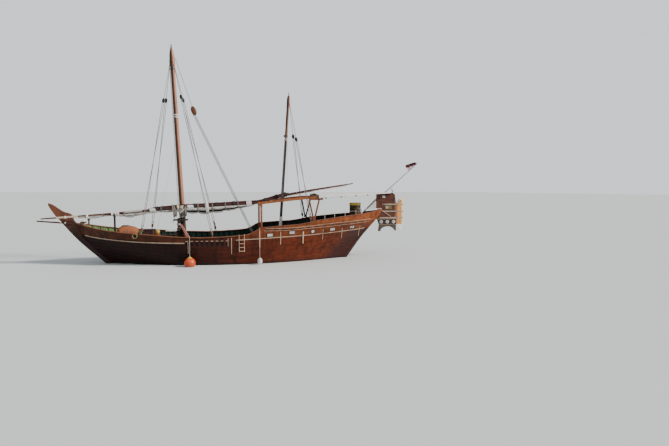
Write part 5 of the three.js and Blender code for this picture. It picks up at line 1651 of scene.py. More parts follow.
rudder_paint = timber("rudder_wood", (0.88, 0.38, 0.12), (0.58, 0.20, 0.055), 0.3, 0.36, UPRIGHT,
    extra=rudder_zones)
rudder_outline = [(RUDDER_FORE, 4.33), (13.495, 4.56), (13.575, 4.69), (13.8, 4.77), (13.93, 4.76),
    (13.965, 4.68), (13.965, 2.6), (13.69, 2.04), (13.62, 2.08), (13.56, 2.4), (RUDDER_FORE, 2.56)]
EYE_X, EYE_Z = 13.61, 4.54
eye = [(EYE_X + 0.08 * cos(a), EYE_Z + 0.08 * sin(a)) for a in np.linspace(0, 2 * pi, 24, endpoint=False)]
parts = [plate(band(rudder_outline, 0, 13.4, 13.7185), 0.055, 0.007, holes=[eye])]
parts += [plate(band(rudder_outline, 0, a, b), 0.055, 0.007)
    for a, b in ((13.7215, 13.8785), (13.8815, 14.0))]
for z in STRAPS:
    for part, inwards in zip(strap(RUDDER_FORE + 0.002, 13.94, z), (0.005, -0.005)):
        parts.append(dict(part, finish=1, points=[(x, y + inwards, h) for x, y, h in part["points"]]))
    parts.append(block((AXIS_X, -0.022, z + 0.0455),
        (RUDDER_FORE + 0.04, 0.022, z + STRAP_HIGH), 0.003, 1))
    parts.append(knuckle(z + 0.0455, finish=1))
    parts.append(turned([(0.012, 0.04), (0.012, 0.105), (0.020, 0.107), (0.020, 0.118), (0.006, 0.124)],
        (AXIS_X, 0, z), 12, finish=2))
for low, high in ((2.60, 3.10), (3.205, 3.63), (3.735, 4.20), (4.305, 4.36)):
    parts.append(turned([(0.040, low), (0.046, low + 0.006), (0.046, high - 0.006), (0.040, high)],
        (AXIS_X, 0, 0), 20))
    parts.append(block((AXIS_X + 0.03, -0.036, low + 0.01),
        (RUDDER_FORE + 0.004, 0.036, high - 0.01), 0.004))
# iron rings round the eye; their dark colour also stands in for the shade inside the hole, painted shade
for y in (-0.054, 0.054):
    parts.append(loop((EYE_X, y, EYE_Z), (0.088, 0, 0), (0, 0, 0.088), 0.018, 25, finish=2))
piece("rudder_planks", parts, [rudder_paint, strap_iron, iron], body="rudder_body", slot="rudder_wood",
    replaces=["rudder"])
places = on_both_faces([13.70], 0.0545, 2.84, (0.8, 0.8, 1))
repeat("rudder_rosettes", flower, places, pale_trim, body="rudder_body", slot="rudder_wood")
print("rudder planks", 3)

# %% [markdown]
# ## Flagstaff, bow spar and deck things
# These small pieces are turned, sawn or lashed. The drum is a painted barrel with hoops, the hood is
# a cloth-covered hatch cover, the chest is planked, and the bitts are heavy posts with a crossbar.

# %% Flagstaff and bow spar
STAFF_TIP, STAFF_X = Vector((15.5, 1.0, 7.65)), 10.9
staff_z = seat(rail_run, STAFF_X, 0.06, 0.04)
staff_foot = Vector((STAFF_X, half_breadth(STAFF_X, staff_z) - 0.06, staff_z))
staff_xs = np.linspace(0, 1, 12)
staff_path = [staff_foot.lerp(STAFF_TIP, t) for t in staff_xs]
parts = [tube(staff_path, [0.040 + (0.018 - 0.040) * t for t in staff_xs], 14)]
parts.append(block(staff_foot + Vector((-0.06, -0.05, -0.0397)),
    staff_foot + Vector((0.06, 0.05, 0.04)), 0.01, 1))
parts.append(turned([(0.004, -0.05), (0.03, -0.035), (0.036, 0), (0.03, 0.035), (0.004, 0.05)], STAFF_TIP,
    14, finish=2))
piece("flagstaff_pole", parts, [yard_wood, dark_wood, pale_trim], slot="mast_wood", replaces=["flagstaff"])
spar_y = -0.163
spar_tip, spar_foot = Vector((-13.61, spar_y, 3.19)), Vector((-11.25, spar_y, 2.99))
spar_path = [spar_tip.lerp(spar_foot, t) for t in np.linspace(0, 1, 9)]
parts = [tube(spar_path, [0.045, 0.053, 0.055, 0.056, 0.058, 0.06, 0.061, 0.062, 0.062], 14)]
for x in (-12.05, -11.75):
    centre = spar_tip.lerp(spar_foot, (x - spar_tip.x) / (spar_foot.x - spar_tip.x))
    parts.append(loop(centre, (0, 0.072, 0), (0, 0, 0.072), 0.010, 60, 4, (0.02 * pi / 3, 0, 0), 0, 6, 1))
piece("bow_spar_pole", parts, [yard_wood, pale_rope], slot="dark_wood", replaces=["bow_spar"])

# %% Hood over the fore hatch
HOOD_ROWS = [(-8.15, 0.80, 0.70), (-8.12, 0.86, 0.76), (-7.95, 1, 0.93), (-7.5, 1, 1), (-7.05, 0.95, 0.90),
    (-6.80, 0.84, 0.76), (-6.75, 0.79, 0.70)]
HOOD_SECTION = [(-0.62, 0), (-0.62, 0.50), (-0.50, 0.71), (-0.20, 0.82), (0.20, 0.82), (0.50, 0.71),
    (0.62, 0.50), (0.62, 0)]
hood_foot = highest(foredeck_run, -8.15, -6.72) + SEAT_GAP
hood_section = [HOOD_SECTION[0]] + curved(HOOD_SECTION[1:-1], 2) + [HOOD_SECTION[-1]]
fine_section = []
for (y0, z0), (y1, z1) in zip(hood_section, hood_section[1:]):
    fine_section += [(y0 + (y1 - y0) * t / 4, z0 + (z1 - z0) * t / 4) for t in range(4)]
fine_section.append(hood_section[-1])
rings = []
for x in np.linspace(-8.15, -6.75, 48):
    wide, high = [reading(HOOD_ROWS, k, x) for k in (1, 2)]
    ring = []
    for y, z in fine_section:
        crease = (z > 0.02) * (0.022 * fold(x, 1.4 * y + 0.6 * z, 2) + 0.012 * fold(2.1 * x, 2 * y, 6))
        ring.append((x, y * wide * (1 + crease), hood_foot + z * high * (1 + crease)))
    rings.append(ring)
parts = [loft(rings)]
parts.append(post(-7.65, 0, 0.21, 0.30, hood_foot + 0.775, hood_foot + 0.835, 0.02, 1))
sling = [(-7.62 + 0.62 * cos(a), -0.645 + 0.03 * abs(sin(a)), hood_foot + 0.20 + 0.03 * sin(3 * a))
    for a in np.linspace(0, pi, 24)]
parts.append(tube(sling, 0.012, 6, 2))
hood_cloth = woven("hood_cloth", (0.32, 0.090, 0.026), 0.55, 0.2, 0.002)
hood = piece("fore_hood_cover", parts, [hood_cloth, dark_wood, pale_rope], slot="orange_wood",
    replaces=["fore_hood"], crease=60)

# %% Deck chest with its lid, bitts and brace
CHEST_X, CHEST_Y, CHEST_HIGH = (-6.4, -5.64), (-0.35, 0.75), 1.01
chest_foot = highest(deck_run, *CHEST_X) + SEAT_GAP
chest_top = chest_foot + CHEST_HIGH
inner_x, inner_y = [(low + 0.0405, high - 0.0405) for low, high in (CHEST_X, CHEST_Y)]
parts = []
for k in range(5):
    z0, z1 = chest_foot + 0.002 + k * 0.2012, chest_foot + (k + 1) * 0.2012
    parts += [block((CHEST_X[0], y, z0), (CHEST_X[1], y + 0.04, z1), 0.005)
        for y in (CHEST_Y[0], CHEST_Y[1] - 0.04)]
    parts += [block((x, inner_y[0], z0), (x + 0.04, inner_y[1], z1), 0.005)
        for x in (CHEST_X[0], CHEST_X[1] - 0.04)]
parts.append(block((inner_x[0], inner_y[0], chest_foot),
    (inner_x[1], inner_y[1], chest_foot + 0.04), 0.004))
parts += [block((x, CHEST_Y[0] - 0.012, chest_foot + 0.06),
    (x + 0.07, CHEST_Y[0] + 0.002, chest_top - 0.06), 0.004) for x in (-6.33, -5.78)]
chest_wood = timber("purple_brown_wood", (0.085, 0.036, 0.032), (0.034, 0.014, 0.014), 0.4, 0.42)
piece("deck_chest_boards", parts, chest_wood, slot="dark_wood", replaces=["deck_chest"])
lid_z = chest_top + SEAT_GAP
parts = [block((CHEST_X[0] - 0.015 + k * 0.1976, CHEST_Y[0] - 0.025, lid_z),
    (CHEST_X[0] - 0.017 + (k + 1) * 0.1976, CHEST_Y[1], lid_z + 0.045), 0.005) for k in range(4)]
parts += [block((CHEST_X[0] - 0.012, y, lid_z + 0.044), (CHEST_X[1] + 0.012, y + 0.06, lid_z + 0.056),
    0.004) for y in (-0.30, 0.62)]
parts.append(loop((-6.02, CHEST_Y[0] - 0.028, lid_z + 0.01), (0.045, 0, 0), (0, 0, -0.05), 0.007, 13,
    0.5, finish=1))
piece("chest_lid_boards", parts, [chest_wood, iron], body="lid", slot="dark_wood", replaces=["chest_lid"])
BITT_X = -3.78
bitt_foot = seat(deck_run, BITT_X, 0.095)
parts = [block((BITT_X - 0.095, y, bitt_foot), (BITT_X + 0.095, y + 0.19, 3.30), 0.014)
    for y in (-0.42, 0.23)]
parts += [block((BITT_X - 0.108, y - 0.013, 3.17), (BITT_X + 0.108, y + 0.203, 3.205), 0.006)
    for y in (-0.42, 0.23)]
parts += [block((BITT_X - 0.08, y0, 2.45), (BITT_X + 0.08, y1, 2.62), 0.012)
    for y0, y1 in ((-0.62, -0.4203), (-0.2297, 0.2297), (0.4203, 0.62))]
parts += [block((-4.18, -0.40, 3.12), (BITT_X - 0.0953, -0.27, 3.25), 0.012),
    block((BITT_X + 0.0953, -0.40, 3.12), (-3.10, -0.27, 3.25), 0.012)]
parts.append(loop((-4.16, -0.335, 3.05), (0, 0, -0.07), (-0.03, 0, 0), 0.012, 14, -0.8,
    start=pi, finish=1))
piece("mast_bitt_posts", parts, [dark_wood, iron], slot="dark_wood", replaces=["mast_bitts"])
brace_foot = highest(deck_run, -2.8, -2.6) + SEAT_GAP
piece("mast_brace_plank", plate([(-2.83, brace_foot), (-2.57, brace_foot), (-3.55, 2.86), (-3.67, 2.80)],
    0.11, 0.012, -0.5), brace_wood, slot="brace_wood", replaces=["mast_brace"])

# %% Main hatch, drum and light
hatch_foot = highest(deck_run, -1.5, 0.6) + SEAT_GAP
parts = [post(-0.45, 0, 1.05, 0.8, hatch_foot, hatch_foot + 0.27, 0.01, 1)]
parts += [block((-1.56, y0, hatch_foot + 0.25), (0.66, y1, hatch_foot + 0.33), 0.012, 1)
    for y0, y1 in ((-0.86, -0.78), (0.78, 0.86))]
parts += [block((x0, -0.7797, hatch_foot + 0.25), (x1, 0.7797, hatch_foot + 0.33), 0.012, 1)
    for x0, x1 in ((-1.56, -1.48), (0.58, 0.66))]
parts += [block((-1.479 + k * 0.1716, -0.779, hatch_foot + 0.271),
    (-1.483 + (k + 1) * 0.1716, 0.779, hatch_foot + 0.315), 0.006) for k in range(12)]
piece("main_hatch_boards", parts, [deck_wood, orange_wood], slot="deck_wood", replaces=["main_hatch"])
DRUM_X, DRUM_R, DRUM_TOP = 9.9, 0.45, 4.4
drum_foot = seat(poop_run, DRUM_X, DRUM_R)
profile = [(DRUM_R - 0.01, 0), (DRUM_R, 0.012), (DRUM_R, 0.20), (DRUM_R + 0.012, 0.22), (DRUM_R, 0.24)]
for z in np.arange(0.5, DRUM_TOP - drum_foot - 0.3, 0.26):
    profile += [(DRUM_R, z), (DRUM_R + 0.012, z + 0.02), (DRUM_R, z + 0.04)]
barrel = turned(profile + [(DRUM_R, DRUM_TOP - drum_foot - 0.2)], (DRUM_X, 0, drum_foot), 40)
cover = turned([(DRUM_R, -0.2), (DRUM_R + 0.02, -0.2), (DRUM_R + 0.02, -0.02), (DRUM_R + 0.005, -0.002),
    (DRUM_R - 0.03, 0), (DRUM_R - 0.06, -0.02), (0.02, -0.015)], (DRUM_X, 0, DRUM_TOP), 40, finish=1)
drum_wood = timber("drum_wood", (0.085, 0.055, 0.026), (0.034, 0.022, 0.012), 0.5, 0.45, UPRIGHT)
piece("poop_drum_barrel", [barrel, cover], [drum_wood, yellow_paint], slot="drum_paint",
    replaces=["poop_drum"])
LANTERN_X = 10.13
lantern_z = seat(rail_run, LANTERN_X, 0.054)
lantern_y = -(half_breadth(LANTERN_X, lantern_z) - 0.06)
vase = [(0.05, 0), (0.055, 0.01), (0.056, 0.05), (0.075, 0.075), (0.108, 0.12), (0.117, 0.16),
    (0.119, 0.24), (0.112, 0.275), (0.10, 0.285), (0.10, 0.30), (0.128, 0.308), (0.131, 0.33),
    (0.131, 0.385), (0.12, 0.405), (0.08, 0.43), (0.02, 0.444)]
piece("lantern_vase", turned(vase, (LANTERN_X, lantern_y, lantern_z), 28), white_paint,
    slot="lantern_paint", replaces=["lantern_post"])

# %% Boarding ladder and fenders
LADDER_X = 0.85
ladder_y = -(half_breadth(LADDER_X, 2.0) + 0.04 + 0.045)
parts = []
for x in (LADDER_X - 0.185, LADDER_X + 0.185):
    hook_z = seat(rail_run, x, 0.025)
    parts.append(tube([(x, ladder_y, 0.98), (x, ladder_y, hook_z + 0.03)], 0.021, 12))
    parts.append(block((x - 0.025, ladder_y - 0.02, hook_z),
        (x + 0.025, ladder_y + 0.2, hook_z + 0.03), 0.006))
for k in range(4):
    z = 1.01 + k * 0.27
    parts.append(post(LADDER_X, ladder_y, 0.19, 0.035, z, z + 0.04, 0.008))
piece("boarding_ladder_rungs", parts, pale_trim, slot="ladder_wood", replaces=["boarding_ladder"])
orange_vinyl = painted("orange_buoy", (0.70, 0.085, 0.014), (0.34, 0.07, 0.03), 0.25, 0.15, coat=0.3)
white_vinyl = painted("white_buoy", (0.80, 0.80, 0.77), (0.40, 0.36, 0.30), 0.35, 0.15, coat=0.3)


def fender(name, x, z, r, profile, finish, replaced, slot, cap=None):
    side_y = -(half_breadth(x, rail_z(x)) + 0.04)
    y = min(-(half_breadth(x, z + r) + r + 0.004), side_y - 0.02)
    top = seat(rail_run, x, 0.014, 0.0123)
    neck = profile[-1][1]
    parts = [turned(profile, (x, y, z), 28)]
    if cap:
        crown = [(r + 0.004, h) for r, h in profile if h > cap[0]]
        parts.append(turned([(crown[0][0] - 0.02, crown[0][1] - 0.004)] + crown, (x, y, z), 28, finish=2))
    lanyard = [(y, z + neck - 0.01), (side_y - 0.014, top - 0.03), (side_y - 0.002, top + 0.002),
        (side_y + 0.15, top + 0.002)]
    parts.append(tube([(x, *place) for place in lanyard], 0.0115, 8, 1))
    parts.append(loop((x, y, z + neck + 0.015), (0.03, 0, 0), (0, 0, 0.03), 0.009, 17, sides=6, finish=1))
    piece(name, parts, [finish, pale_rope] + ([cap[1]] if cap else []), slot=slot, replaces=[replaced])


globe = [(0.4 * sin(a), -0.4 * cos(a)) for a in np.linspace(0.06, pi - 0.36, 26)] + [(0.12, 0.39),
    (0.09, 0.42), (0.05, 0.44)]
fender("fender_ball", -2.78, 0.26, 0.4, globe, orange_vinyl, "fender_fore", "buoy_orange",
    (0.34, yellow_paint))
bottle = [(0.03, -0.26), (0.085, -0.25), (0.136, -0.215), (0.168, -0.16), (0.17, 0.04), (0.153, 0.10),
    (0.10, 0.145), (0.06, 0.17), (0.04, 0.18)]
fender("fender_bottle", 2.13, 0.33, 0.17, bottle, white_vinyl, "fender_aft", "buoy_white")

# %% [markdown]
# ## Trim on the ship's side
# The poop side carries a row of dark slots between two light lines, five small windows and pale
# upright battens, and the waist has a pierced rail. All of it lies on the curved planking. Each part
# is drawn flat, as along, up and out, and a small frame on the hull carries it to its place.

# %% A frame on the planking
def side_frame(x, z, hand, rise=0.0, out=0.0):
    """Point, along, up and outward directions on the planking, for a line that climbs by rise."""
    point, normal = on_hull(x, z, hand, out)
    along = (on_hull(x + 0.05, z + 0.05 * rise, hand)[0]
        - on_hull(x - 0.05, z - 0.05 * rise, hand)[0]).normalized()
    up = (Vector((0, 0, 1)) - normal.z * normal - along.z * along).normalized()
    return point, along, up, normal


def set_on(part, frame_here):
    point, along, up, normal = frame_here
    return dict(part, points=[point + p[0] * along + p[1] * up + p[2] * normal for p in part["points"]])


UPPER_LINE = [(2.6, 2.635), (4.36, 2.64), (5.95, 2.75), (7.74, 2.91), (8.97, 2.98), (10.44, 3.08),
    (11.2, 3.11)]
SLOT_LINE = [(2.45, 2.53), (4.51, 2.54), (5.74, 2.64), (6.57, 2.69), (7.41, 2.74), (8.39, 2.81),
    (9.43, 2.88), (10.4, 2.95)]
LOWER_LINE = [(x, z - 0.07) for x, z in SLOT_LINE] + [(11.0, 2.93)]
for side, hand in HANDS:
    moulding("poop_upper_line", side, hand, UPPER_LINE, 2.6, 11.15, 0.04, 0.02)
    moulding("poop_lower_line", side, hand, LOWER_LINE, 2.45, 10.95, 0.03, 0.016)
slot_places = []
for side, hand in HANDS:
    for x in np.arange(2.72, 10.2, 0.62):
        z = smooth(SLOT_LINE, x) + 0.004
        rise = (smooth(SLOT_LINE, x + 0.05) - smooth(SLOT_LINE, x - 0.05)) / 0.1
        point, along, _, normal = side_frame(x, z, hand, rise, 0.001)
        slot_places.append((point, along, normal, (1, 1, 1)))
# black blocks stand for the shade inside the carved slots: painted shade
repeat("rail_slots", block((-0.20, -0.036, -0.004), (0.20, 0.036, 0.006), 0.004), slot_places, black_paint,
    slot="dark_wood")
print("slots", len(slot_places))

# %% Windows in the poop side
glass = painted("dull_window", (0.62, 0.66, 0.66), (0.30, 0.34, 0.36), 0.2, 0.05, coat=0.6)
FRAME_BARS = [(-0.215, -0.125, 0.215, -0.105), (-0.215, 0.105, 0.215, 0.125),
    (-0.215, -0.1045, -0.195, 0.1045), (0.195, -0.1045, 0.215, 0.1045)]
PORTHOLE = [(0.115, 0.01), (0.12, 0.022), (0.10, 0.026), (0.092, 0.018), (0.004, 0.018)]
WINDOWS = [(2.89, 2.14, 1), (4.52, 2.29, 1), (6.11, 2.32, 0), (7.70, 2.43, 1), (9.39, 2.53, 2)]
for side, hand in HANDS:
    parts = []
    for x, z, panes in WINDOWS:
        here = side_frame(x, z, hand, 0.04)
        if panes == 0:
            shapes = [block((-0.16, -0.16, -0.01), (0.16, 0.16, 0.012), 0.006, 1),
                turned(PORTHOLE, (0, 0, 0), 28, finish=2)]
        else:
            shapes = [block((x0, y0, -0.01), (x1, y1, 0.018), 0.004, 1) for x0, y0, x1, y1 in FRAME_BARS]
            shapes.append(block((-0.1945, -0.1045, -0.01), (0.1945, 0.1045, 0.010), 0.003, 0))
        if panes == 2:
            shapes.append(block((-0.03, -0.1045, 0.0105), (0.03, 0.1045, 0.022), 0.004, 1))
        parts += [set_on(s, here) for s in shapes]
    piece(f"poop_windows_{side}", parts, [glass, dark_wood, white_paint], slot="lantern_paint")

# %% Pale battens down the side
BATTEN_SECTION = [(-1, -0.01), (1, -0.01), (1, 0.016), (0.6, 0.026), (-0.6, 0.026), (-1, 0.016)]
CREAM_BATTEN = 5.37
BATTENS = [(0.12, 2.0, 0.80, 0.025), (2.13, 2.45, 1.28, 0.035), (3.66, 2.37, 1.41, 0.030),
    (5.37, 2.34, 1.42, 0.035), (6.92, 2.45, 1.66, 0.030), (8.53, 2.49, 1.67, 0.032),
    (10.11, 2.57, 1.72, 0.032), (-2.91, 1.75, 0.90, 0.016), (-0.12, 1.98, 1.38, 0.016)]
for side, hand in HANDS:
    parts = []
    for x, high, low, half in BATTENS:
        rings = []
        for z in np.linspace(high, low, 9):
            point, along, _, normal = side_frame(x, float(z), hand)
            rings.append([point + s * half * along + t * normal for s, t in BATTEN_SECTION])
        parts.append(loft(rings, 1 if x == CREAM_BATTEN else 0))
    piece(f"side_battens_{side}", parts, [pale_trim, cream_wood], slot="orange_wood")

# %% Pierced rail in the waist
PIERCED = np.arange(-2.97, 0.0, 0.35)
# the near-black panels stand for the rail's openings: painted shade, not holes
pierced_hole_shade = timber("pierced_hole_painted_shade", (0.020, 0.012, 0.012), (0.010, 0.007, 0.007), 0.2,
    0.6, shine=0.1)
rib_wood = timber("pierced_rib_wood", (0.11, 0.040, 0.026), (0.05, 0.018, 0.013), 0.4, 0.5, shine=0.1)
for side, hand in HANDS:
    parts = []
    for x in PIERCED:
        here = side_frame(float(x), 1.66, hand)
        shapes = [block((-0.095, -0.26, -0.004), (0.095, 0.09, 0.005), 0.003, 1),
            block((-0.115, 0.105, -0.004), (0.075, 0.150, 0.016), 0.005, 0),
            block((0.120, -0.26, -0.004), (0.150, 0.16, 0.012), 0.005, 2)]
        parts += [set_on(s, here) for s in shapes]
    for z in (1.38, 1.85):
        parts.append(moulding_strip([(-3.3, z), (0.1, z)], -3.2, 0.02, 0.03, 0.014, hand, 0.0005))
        parts[-1]["finish"] = [2] * len(parts[-1]["faces"])
    piece(f"pierced_rail_{side}", parts, [pale_trim, pierced_hole_shade, rib_wood], slot="dark_planks")
for side, hand in HANDS:
    xs = np.arange(-6.0, -3.1, 0.2).tolist()
    stringers = [tube([(x, hand * (half_breadth(x, z) - 0.135), z) for x in xs], 0.022, 6)
        for z in (1.62, 1.86)]
    piece(f"bulwark_stringers_{side}", stringers, grey_wood, slot="dark_planks")
print("windows", len(WINDOWS), "battens", len(BATTENS), "piercings", len(PIERCED))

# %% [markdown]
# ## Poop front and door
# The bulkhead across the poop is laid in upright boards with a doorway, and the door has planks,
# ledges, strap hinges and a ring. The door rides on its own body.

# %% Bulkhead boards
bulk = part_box("poop_bulkhead")
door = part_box("cuddy_door")
print("bulkhead", [[round(v, 3) for v in c] for c in bulk], "door",
    [[round(v, 3) for v in c] for c in door])
OPENING, HINGE_DEEP, BULK_X = 0.384, 0.031, 2.35
bulk_top, bulk_front, bulk_back = bulk[1][2], bulk[0][0] + HINGE_DEEP, bulk[1][0]
(x0, y0, z0), (x1, y1, z1) = door
leaf_front = x0 + HINGE_DEEP
strap_rows = (z0 + 0.12, z1 - 0.21)
parts = []
end_y = half_breadth(BULK_X, bulk_top) - PLANK_THICK
edges = [round(y, 3) for y in np.arange(OPENING, end_y - 0.05, 0.19)] + [end_y]
for hand in (-1, 1):
    for low_y, high_y in zip(edges, edges[1:]):
        high_y -= 0.004
        low_z = next((z for z in np.arange(bulk[0][2], bulk_top, 0.02)
            if half_breadth(BULK_X, z) - PLANK_THICK > high_y), None)
        if low_z is None:
            continue
        parts.append(block((bulk_front, hand * low_y, float(low_z)),
            (bulk_back, hand * high_y, bulk_top), 0.006))
parts.append(block((bulk_front, -OPENING + 0.004, z1 + 0.006),
    (bulk_back, OPENING - 0.004, bulk_top), 0.006))
casing = bulk_front - TRIM_GAP
parts.append(block((bulk_front - 0.022, -OPENING - 0.07, bulk[0][2]),
    (casing, -OPENING, z1 + 0.02), 0.005, 1))
parts.append(block((bulk_front - 0.022, -OPENING - 0.07, z1 + 0.03),
    (casing, OPENING + 0.07, z1 + 0.10), 0.005, 1))
parts += [block((bulk_front - 0.012, OPENING + 0.012, z + 0.02), (casing, OPENING + 0.16, z + 0.06), 0.002,
    2) for z in strap_rows]
bulk_wood = timber("bulkhead_wood", (0.34, 0.13, 0.06), (0.15, 0.05, 0.028), 0.45, 0.4, UPRIGHT)
piece("poop_bulkhead_boards", parts, [bulk_wood, rail_wood, iron], slot="red_planks",
    replaces=["poop_bulkhead"])
board = (OPENING - 0.006 - y0) / 4
parts = [block((leaf_front, y0 + k * board, z0), (x1, y0 + (k + 1) * board - 0.004, z1), 0.006)
    for k in range(4)]
parts += [block((leaf_front - 0.018, y0 + 0.04, z), (leaf_front + 0.002, y1 - 0.06, z + 0.09), 0.005, 1)
    for z in strap_rows]
parts += [block((leaf_front - 0.024, y1 - 0.36, z + 0.02), (leaf_front - 0.0175, OPENING, z + 0.06), 0.002,
    2) for z in strap_rows]
parts += [tube([(leaf_front - 0.018, OPENING, z + 0.012), (leaf_front - 0.018, OPENING, z + 0.068)], 0.009,
    10, 2) for z in strap_rows]
ring_centre = (leaf_front - 0.012, y0 + 0.08, (z0 + z1) / 2)
parts.append(loop(ring_centre, (0, 0.04, 0), (0.005, 0, 0.04), 0.006, 19, finish=2))
piece("cuddy_door_boards", parts, [orange_wood, rail_wood, iron], body="door", slot="orange_wood",
    replaces=["cuddy_door"])

# %% [markdown]
# ## Loose ropes, cloth and small gear
# A working boat is never bare. Rope is belayed in turns round the bitts and the mast, a net is
# stretched by the stern board, and thin lines run to the masts. Taut lines are straight tubes, and
# turns are coils round what they hold.

# %% Lines and turns
def line(a, b, radius, finish=0):
    return tube([Vector(a).lerp(Vector(b), t) for t in (0.0, 0.25, 0.5, 0.75, 1.0)], radius, 6, finish)


parts = [line((main_x(8.9) - 0.16, -0.08, 8.9), (-5.40, -0.95, rail_z(-5.4) - 0.55), 0.007, 1),
    line((mizzen_x(10.5) - 0.09, -0.04, 10.5), (3.80, -2.3, 4.66), 0.008, 1),
    line((mizzen_x(10.5) + 0.09, 0.04, 10.5), (4.6, 2.3, 4.74), 0.008, 1),
    line((11.85, -0.09, 3.95), (12.89, -0.09, 3.24), 0.014)]
piece("thin_lines", parts, [pale_rope, grey_rope], slot="rope")
turns_round = []
for y, finish in ((-0.52, 0), (0.50, 1)):
    turns_round.append(loop((BITT_X, y, 2.535), (0.115, 0, 0), (0, 0, 0.12), 0.016, 100, 5, (0, 0.024, 0),
        0, 6, finish))
for y, z0 in ((-0.325, 2.78), (0.325, 2.86)):
    turns_round.append(loop((BITT_X, y, z0), (0.125, 0, 0), (0, 0.125, 0), 0.015, 120, 6,
        (0, 0, 0.022), 0, 6, 1))
piece("bitt_rope_turns", turns_round, [pale_rope, grey_rope], slot="rope")
tangle = []
for k in range(16):
    a = 0.8 * k
    start = (main_x(3.95) - 0.06 + 0.26 * cos(a), -0.205 - 0.05 * sin(a) ** 2, 3.98 - 0.01 * k)
    end = (main_x(3.35) - 0.03 + 0.20 * cos(a + 1.4), -0.20 - 0.04 * sin(2 * a) ** 2, 3.34 + 0.02 * k)
    tangle.append(line(start, end, 0.019, (0, 2, 0, 1)[k % 4]))
for z0, count, finish in ((3.36, 4, 0), (3.52, 3, 2), (3.68, 3, 0), (3.80, 4, 1)):
    tangle.append(loop((main_x(z0), 0, z0), (0.205, 0, 0), (0, 0.205, 0), 0.019, 24 * count, count,
        (0, 0, 0.028), 0, 6, finish))
piece("mast_rope_turns", tangle, [pale_rope, dark_rope, grey_rope], slot="rope")
print("mast ropes", len(tangle))

# %% [markdown]
# A short spare rope hangs coiled on a peg. Its turns lie side by side, one thickness apart.

# %% Coil on a peg
def hung_coil(name, x, below, rope_r, count, finish):
    """A coil of rope on a peg in the ship's side, with its rope's own length."""
    peg_z = rail_z(x) - below
    wall = -half_breadth(x, peg_z)
    reach = 0.06 + count * rope_r * 2.2
    peg = tube([(x, wall + 0.03, peg_z), (x, wall - reach, peg_z + 0.03)], [0.016, 0.020], 10)
    radius = rope_r * 11
    middle_z = peg_z + 0.018 + rope_r - radius
    path = []
    for k in range(count * 20 + 1):
        a = pi / 2 - 0.35 - 2 * pi * k / 20
        path.append((float(x + radius * cos(a)), float(wall - 0.05 - rope_r * 2.15 * k / 20),
            float(middle_z + radius * sin(a))))
    rope = piece(name, tube(path, rope_r, 8), finish, slot="rope")
    return peg


moss_rope = laid("moss_rope", (0.27, 0.25, 0.09))
pegs = [hung_coil("fore_rope_coil", -6.55, 0.05, 0.014, 5, moss_rope)]
piece("coil_pegs", pegs, dark_wood, slot="dark_wood")

# %% Rail stanchions, posts and lamps
parts = []
STANCHIONS = [(7.03, 0.46), (7.82, 0.44), (8.69, 0.38), (9.63, 0.32)]
heads = []
for x, high in STANCHIONS:
    foot = seat(rail_run, x, 0.02, TRIM_GAP)
    y = -(half_breadth(x, foot) - 0.05)
    parts.append(turned([(0.026, 0), (0.026, 0.012), (0.013, 0.016), (0.013, high - 0.03),
        (0.022, high - 0.02), (0.022, high), (0.004, high + 0.012)], (x, y, foot), 12))
    heads.append((x, y, foot + high - 0.045))
for a, b in zip(heads, heads[1:]):
    parts.append(line(a, b, 0.007, 1))
foot = highest(rail_run, -1.33, -1.27) + TRIM_GAP
post_y = half_breadth(-1.3, foot) - 0.06
parts.append(post(-1.3, post_y, 0.025, 0.025, foot, foot + 0.55, 0.006, 2))
parts.append(turned([(0.02, 0.55), (0.10, 0.60), (0.115, 0.72), (0.09, 0.82), (0.02, 0.86)],
    (-1.3, post_y, foot), 16))
piece("rail_stanchions", parts, [white_paint, pale_rope, dark_wood], slot="lantern_paint")
lamp_shape = turned([(0.03, 0), (0.045, 0.01), (0.045, 0.05), (0.10, 0.08), (0.125, 0.14), (0.12, 0.20),
    (0.08, 0.25), (0.02, 0.27)], (13.04, 0, 5.285), 20)
piece("stern_lamp", [lamp_shape, post(13.04, 0, 0.06, 0.06, 5.109, 5.288, 0.01, 1)],
    [white_paint, dark_wood], slot="lantern_paint")

# %% Net and bow gear
def netting(a, b, c, pitch):
    """Strings of a three-cornered net, parallel to two of its sides."""
    a, b, c = Vector(a), Vector(b), Vector(c)
    strings = []
    rows = int((b - a).length / pitch)
    for k in range(rows + 1):
        t = k / rows
        strings.append(line(a.lerp(b, t), a.lerp(c, t), 0.006))
        strings.append(line(a.lerp(b, 1 - t), c.lerp(b, 1 - t), 0.006))
    return strings


net = netting((11.60, -0.14, 4.74), (11.60, -0.16, 3.96), (10.75, -0.55, 3.90), 0.055)
net.append(line((10.80, -0.52, 4.02), (11.62, -0.15, 4.72), 0.034, 1))
piece("stern_net", net, [grey_rope, dark_wood], slot="rope")
bitt_z = highest(rail_run, -10.62, -10.30) + TRIM_GAP
BOW_GEAR = [(-10.47, -0.26, 0.13, 0.09, -0.30, 0.26, 0.03, 0),
    (-10.47, -0.26, 0.15, 0.30, 0.08, 0.17, 0.02, 1),
    (-10.16, 0, 0.04, 0.07, -0.04, 0.42, 0.012, 1),
    (-10.16, 0, 0.06, 0.20, 0.26, 0.34, 0.012, 1)]
parts = [post(x, y, hx, hy, bitt_z + z0, bitt_z + z1, c, finish)
    for x, y, hx, hy, z0, z1, c, finish in BOW_GEAR]
piece("bow_bitt", parts, [cream_wood, dark_wood], slot="orange_wood")
print("net strings", len(net))

